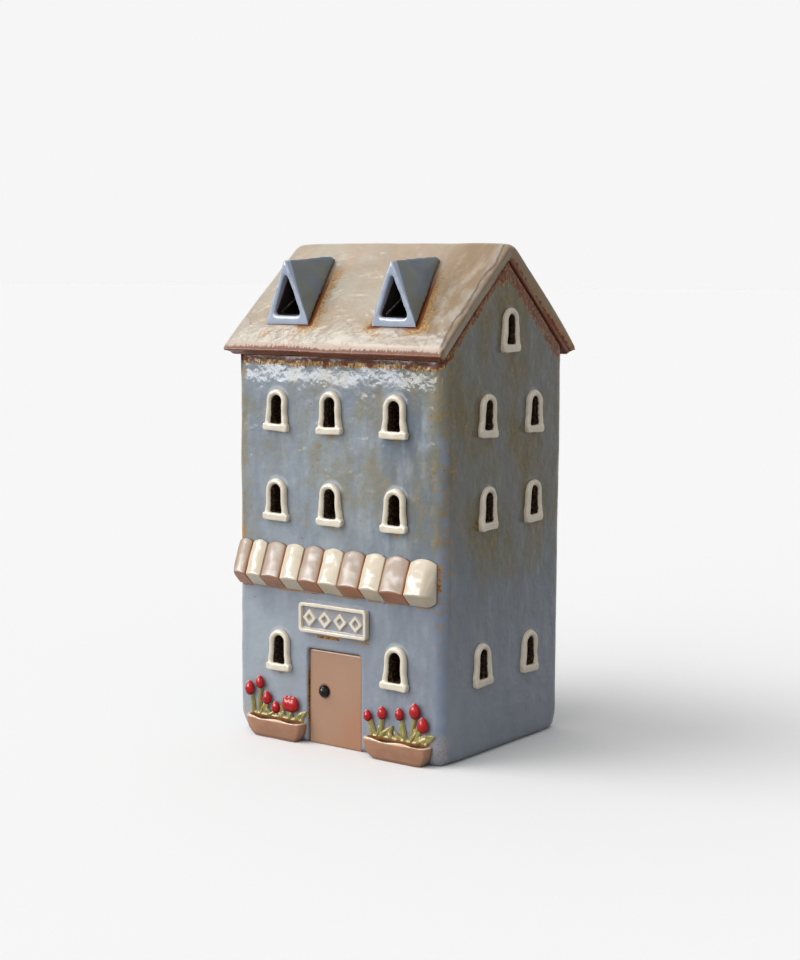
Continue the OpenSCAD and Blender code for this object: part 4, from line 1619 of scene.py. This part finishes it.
# Strands in each bed: share of the trough at the foot, lean in degrees, length and width in millimetres
STRANDS = {
    "left": [
        (0.1, -24, 4.6, 1.1), (0.2, 24, 5.4, 1.2), (0.33, 52, 4.4, 1.3),
        (0.4, -38, 4.6, 1.2), (0.52, 40, 4.2, 1.2), (0.62, -44, 4.4, 1.3),
        (0.72, 12, 4.0, 1.1), (0.8, 44, 5.6, 1.7), (0.9, -20, 2.6, 1.4),
    ],
    "right": [
        (0.13, -28, 5.2, 1.3), (0.19, 10, 5.0, 1.1), (0.22, 42, 6.0, 1.6),
        (0.4, -20, 3.0, 1.8), (0.56, -46, 5.0, 1.3), (0.62, -18, 4.6, 1.1),
        (0.68, 30, 5.6, 1.4), (0.76, 58, 6.0, 2.2), (0.9, -30, 2.8, 1.4),
    ],
}


@dataclass
class FlowerBeds(Assembly):
    """Troughs with tulips on both sides of the door."""

    trough_soft: Wobble = Wobble(8.0, 0.25, True)
    leaf_soft: Wobble = Wobble(2.5, 0.4)
    taper: float = 3.2
    front_taper: float = 0.25
    wave: float = 0.35
    rim: float = 1.5
    foot: float = 2.0
    strand_thick: float = 0.75
    petal_lean: float = 14.0

    def build(self) -> None:
        """Models and dresses troughs, buds and foliage."""
        for make in (self.trough, self.buds, self.foliage):
            for bed in STRANDS:
                make(bed)

    def trough(self, bed: str) -> None:
        """Softens one trough and marks its rim for a painted highlight along the top, partly paler glaze.

        Args:
            bed: Side of the door.
        """
        node = f"{bed}_flower_trough"
        low, high = span(node)
        middle, half = (low[0] + high[0]) / 2, (high[0] - low[0]) / 2

        def belly(rows: np.ndarray) -> np.ndarray:
            """Draws in the ends and the front towards the foot.

            Args:
                rows: Vertices in millimetres.

            Returns:
                The vertices in their new places.
            """
            drop = unit(1 - rows[:, 2] / high[2]) ** 2.6
            rows[:, 0] -= ((rows[:, 0] - middle) / half) ** 3 * drop * self.taper
            rows[:, 1] += np.maximum(-PLAN.half_d - 1 - rows[:, 1], 0) * drop * self.front_taper
            rows[:, 2] += self.wave * np.sin(rows[:, 0] * 0.45) * unit(rows[:, 2] / high[2]) ** 2 - 0.2
            rows[:, 2] = np.maximum(rows[:, 2], 0)
            return rows

        lump = Lump(f"{node}_glazed", [node], Coat.TROUGH).slip(voxel=0.3, passes=14)
        lump.shape(belly).wobble(self.trough_soft)
        rows = lump.points()
        # The rim mark carries a painted highlight along the top face, partly paler glaze.
        rim = unit((rows[:, 2] - high[2] + self.rim) / 1.2)
        foot = unit((self.foot - rows[:, 2]) / self.foot)
        lump.mark(rim=rim, low=foot, seat=seated(behind_front(rows), 0.8)).dress(self.coats)

    def buds(self, bed: str) -> None:
        """Models each bud as closed petals, or as open ones where it is wide.

        Args:
            bed: Side of the door.
        """
        node = f"{bed}_tulip_buds"
        eggs = []
        for low, high in islands(node):
            middle, size = (low + high) / 2, high - low
            if size[0] < size[2] * 1.2:
                eggs.append(Egg(middle, size / 2, 0.0))
                continue
            petal = size * [0.3, 0.5, 0.49]
            for side in (-1, 0, 1):
                eggs.append(Egg(middle + [side * size[0] * 0.18, 0, 0], petal, side * self.petal_lean))
        lump = Lump(f"{node}_glazed", [node], Coat.RED).regrow(eggs).slip(voxel=0.15, passes=3)
        ways = lump.normals()
        # The rim mark is a painted highlight on the shoulders that face the upper left, partly paler glaze;
        # the low mark is painted shade on the undersides.
        facing_light = ways @ np.array([-0.45, -0.45, 0.77])
        lump.mark(rim=unit((facing_light - 0.84) / 0.12), low=unit(-ways[:, 2] * 1.4)).dress(self.coats)

    def foliage(self, bed: str) -> None:
        """Adds loose strands to stems and leaves and marks their edges.

        Args:
            bed: Side of the door.
        """
        node = f"{bed}_tulip_foliage"
        low, high = span(f"{bed}_flower_trough")
        start, end, soil = low[0], high[0], high[2]
        strands = []
        for foot, lean, length, width in STRANDS[bed]:
            turn = math.radians(lean)
            base = np.array([start + foot * (end - start), -PLAN.half_d - self.strand_thick, soil - 0.6])
            way = np.array([math.sin(turn), 0, math.cos(turn)])
            radii = np.array([width / 2, self.strand_thick, length / 2])
            strands.append(Egg(base + way * length / 2, radii, lean))

        def sink(rows: np.ndarray) -> np.ndarray:
            """Lowers the cushion so that the strands stand free of it.

            Args:
                rows: Vertices in millimetres.

            Returns:
                The vertices in their new places.
            """
            over = np.maximum(rows[:, 2] - soil + 0.4, 0)
            rows[:, 2] -= np.where(over < 1.8, over * 0.15, 0.27 * unit((3.2 - over) / 1.4))
            return rows

        lump = Lump(f"{node}_glazed", [node], Coat.GREEN).shape(sink).regrow(strands, keep=True)
        lump.slip(voxel=0.17, passes=4).wobble(self.leaf_soft)
        rows, ways = lump.points(), lump.normals()
        rim = unit((1 + ways[:, 1]) * 1.6 - 0.5)
        dip = unit(soil + 0.7 - rows[:, 2])
        lump.mark(rim=rim, low=dip, seat=seated(behind_front(rows), 0.5)).dress(self.coats)


@dataclass
class ShopFront(Assembly):
    """Sign, door and knob."""

    sign_soft: Wobble = Wobble(7.0, 0.3, True)
    sign_border: float = 1.0
    door_edge: float = 0.7
    knob_seat: float = 1.2

    def build(self) -> None:
        """Models and dresses them all."""
        self.sign()
        self.door()
        knob = Lump("door_knob_glazed", ["door_knob"], Coat.KNOB).slip(voxel=0.12, passes=3)
        behind = behind_front(knob.points()) - self.knob_seat
        knob.mark(seat=seated(behind, 0.5)).dress(self.coats)

    def sign(self) -> None:
        """Softens the sign and greys its sunk field."""
        lump = Lump("sign_board_glazed", ["sign_board"], Coat.CREAM).slip(voxel=0.2, passes=6)
        lump.wobble(self.sign_soft)
        x, y, _ = lump.points().T
        low, high = span("sign_board")
        field_only = (np.minimum(x - low[0], high[0] - x) > self.sign_border) * (y < -PLAN.half_d - 0.9)
        sunk = unit((y - y.min() - 0.75) / 0.4) * field_only
        lump.mark(low=sunk * 0.9, seat=seated(y + PLAN.half_d, 0.6)).dress(self.coats)

    def door(self) -> None:
        """Softens the door, browns its left edge and the left half of its top edge, and marks where the knob
        sits.
        """
        lump = Lump("door_slab_glazed", ["door_slab"], Coat.DOOR).slip(voxel=0.35, passes=2)
        rows = lump.points()
        x, _, z = rows.T
        low, high = span("door_slab")
        side = np.minimum.reduce([x - low[0], high[0] - x, high[2] - z])
        across = (x - low[0]) / (high[0] - low[0])
        low_share = np.clip(across * 0.6 + (1 - z / high[2]) * 0.5 - 0.3, 0, 0.6)
        knob_low, knob_high = span("door_knob")
        away = np.linalg.norm((rows - (knob_low + knob_high) / 2)[:, [0, 2]], axis=1)
        ring = unit(1.2 - (away - (knob_high[0] - knob_low[0]) / 2) / 0.7)
        rim = unit(1 - side / self.door_edge) * (across < 0.5)
        lump.mark(rim=rim, low=low_share, seat=ring).dress(self.coats)


# Studio


def hang(name: str, data: bpy.types.ID, place: Matrix) -> bpy.types.Object:
    """Puts a lamp or camera into the scene.

    Args:
        name: Name of the object.
        data: The lamp or camera.
        place: Where it is and which way it turns.

    Returns:
        The object.
    """
    item = bpy.data.objects.new(name, data)
    item.matrix_world = place
    bpy.context.scene.collection.objects.link(item)
    return item


def facing(way: Vector) -> Matrix:
    """Gives the turn that points a lamp along a direction."""
    return way.to_track_quat("-Z", "Y").to_matrix().to_4x4()


@dataclass(frozen=True)
class Softbox:
    """One area light that only shows in the gloss."""

    name: str
    place: tuple[float, float, float]
    aim: tuple[float, float, float]
    size: tuple[float, float]
    power: float

    def build(self) -> None:
        """Adds the light."""
        data = bpy.data.lights.new(self.name, "AREA")
        data.shape = "RECTANGLE"
        data.size, data.size_y = self.size
        data.energy = self.power
        way = Vector(self.aim) - Vector(self.place)
        lamp = hang(self.name, data, Matrix.Translation(self.place) @ facing(way))
        lamp.visible_diffuse = False
        lamp.visible_camera = False


@dataclass(frozen=True)
class Sun:
    """Even light from one way, with soft shadows."""

    name: str
    way: tuple[float, float]
    height: float
    power: float
    spread: float

    def build(self) -> None:
        """Adds the light."""
        data = bpy.data.lights.new(self.name, "SUN")
        data.energy = self.power * math.pi
        data.angle = math.radians(self.spread)
        level = Vector((*self.way, 0)).normalized() * math.cos(math.radians(self.height))
        hang(self.name, data, facing(-level - Vector((0, 0, math.sin(math.radians(self.height))))))


@dataclass
class Studio:
    """Camera, lights and floor."""

    eye: tuple[float, float, float] = (0.39667, -0.53588, 0.16847)
    yaw: float = -0.637468
    pitch: float = 0.112603
    roll: float = 0.005314
    lens: float = 68.30
    film: float = 36.0
    sight: tuple[float, float] = (0.01, 60.0)
    floor_size: float = 40.0
    white: float = 0.921
    pale: float = 0.849
    bounce: float = 0.3
    dome: tuple[float, float] = (0.62, 0.4)
    dome_way: tuple[float, float, float] = (-0.79, -0.57, 0.22)
    lights: tuple[Union[Sun, Softbox], ...] = (
        Sun("key", (-0.80, -0.60), 48.0, 0.32, 40.0),
        Sun("fill", (-0.50, -0.86), 22.0, 0.45, 80.0),
        Softbox("window_left", (-0.94, -1.22, 0.48), (0.0, 0.0, 0.13), (0.9, 0.44), 20.0),
        Softbox("skylight", (-0.72, -0.22, 1.15), (0.0, 0.0, 0.15), (0.45, 0.22), 1.8),
        Softbox("behind_camera", (1.1, -1.2, 0.9), (0.0, 0.0, 0.1), (0.25, 1.2), 2.5),
    )

    def build(self) -> None:
        """Adds them all."""
        self.camera()
        for light in self.lights:
            light.build()
        self.floor()
        self.world()
        bpy.context.scene.view_settings.view_transform = "Standard"

    def camera(self) -> None:
        """Adds the camera at the photograph's viewpoint."""
        cos, sin = math.cos, math.sin
        ahead = Vector((sin(self.yaw) * cos(self.pitch), cos(self.yaw) * cos(self.pitch), -sin(self.pitch)))
        level = Vector((cos(self.yaw), -sin(self.yaw), 0))
        upright = level.cross(ahead)
        right = cos(self.roll) * level + sin(self.roll) * upright
        up = -sin(self.roll) * level + cos(self.roll) * upright
        data = bpy.data.cameras.new("camera")
        data.sensor_fit = "VERTICAL"
        data.sensor_height = self.film
        data.lens = self.lens
        data.clip_start, data.clip_end = self.sight
        turn = Matrix((right, up, -ahead)).transposed().to_4x4()
        bpy.context.scene.camera = hang("camera", data, Matrix.Translation(self.eye) @ turn)

    def backdrop(self, g: Graph, light: Made, shown: Made, output: str) -> None:
        """Gives rays that show the backdrop another shader than those that only carry light.

        Args:
            g: Graph of the floor or the world.
            light: Shader that the object is lit by.
            shown: Shader that the camera and reflections see.
            output: Type of the output node.
        """
        path = g.node("ShaderNodeLightPath", {}, {})
        seen = path.out("Is Camera Ray") + path.out("Is Glossy Ray") + path.out("Is Transmission Ray")
        inputs = {0: seen.least(1.0), 1: light.out(), 2: shown.out()}
        g.node(output, {}, {0: g.node("ShaderNodeMixShader", {}, inputs).out()})

    def floor(self) -> None:
        """Adds the pale floor, which keeps the object's shadow."""
        bpy.ops.object.select_all(action="DESELECT")
        bpy.ops.mesh.primitive_plane_add(size=self.floor_size, location=(0, 0, 0))
        plane = bpy.context.active_object
        plane.name = "floor"
        g = Graph.material("floor")
        dim = g.node("ShaderNodeBsdfDiffuse", {}, {0: grey(self.bounce)})
        pale = g.node("ShaderNodeBsdfDiffuse", {}, {0: grey(self.pale)})
        self.backdrop(g, dim, pale, "ShaderNodeOutputMaterial")
        plane.data.materials.append(g.owner)

    def world(self) -> None:
        """Sets the surroundings: a plain backdrop, and a dome of light that is brighter on the left."""
        g = Graph(bpy.data.worlds.new("world"))
        base, swing = self.dome
        toward = g.vector("DOT_PRODUCT", g.coordinates.out("Generated"), self.dome_way, "Value")
        strength = (toward * swing + base).most(0.0)
        dome = g.node("ShaderNodeBackground", {}, {0: grey(1.0), 1: strength})
        plain = g.node("ShaderNodeBackground", {}, {0: grey(self.white)})
        self.backdrop(g, dome, plain, "ShaderNodeOutputWorld")
        bpy.context.scene.world = g.owner


def main() -> None:
    """Builds the scene, piece by piece."""
    logging.basicConfig(level=logging.INFO, format="%(message)s")
    Studio().build()
    coats = finishes()
    for kind in (Body, Roof, Windows, Awning, Dormers, FlowerBeds, ShopFront):
        kind(coats).build()
    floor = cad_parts["floor_slab"]
    floor.data.materials.clear()
    floor.data.materials.append(coats[Coat.BARE])
    log.info("floor_slab: bare clay")
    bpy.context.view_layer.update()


if __name__ == "__main__":
    main()
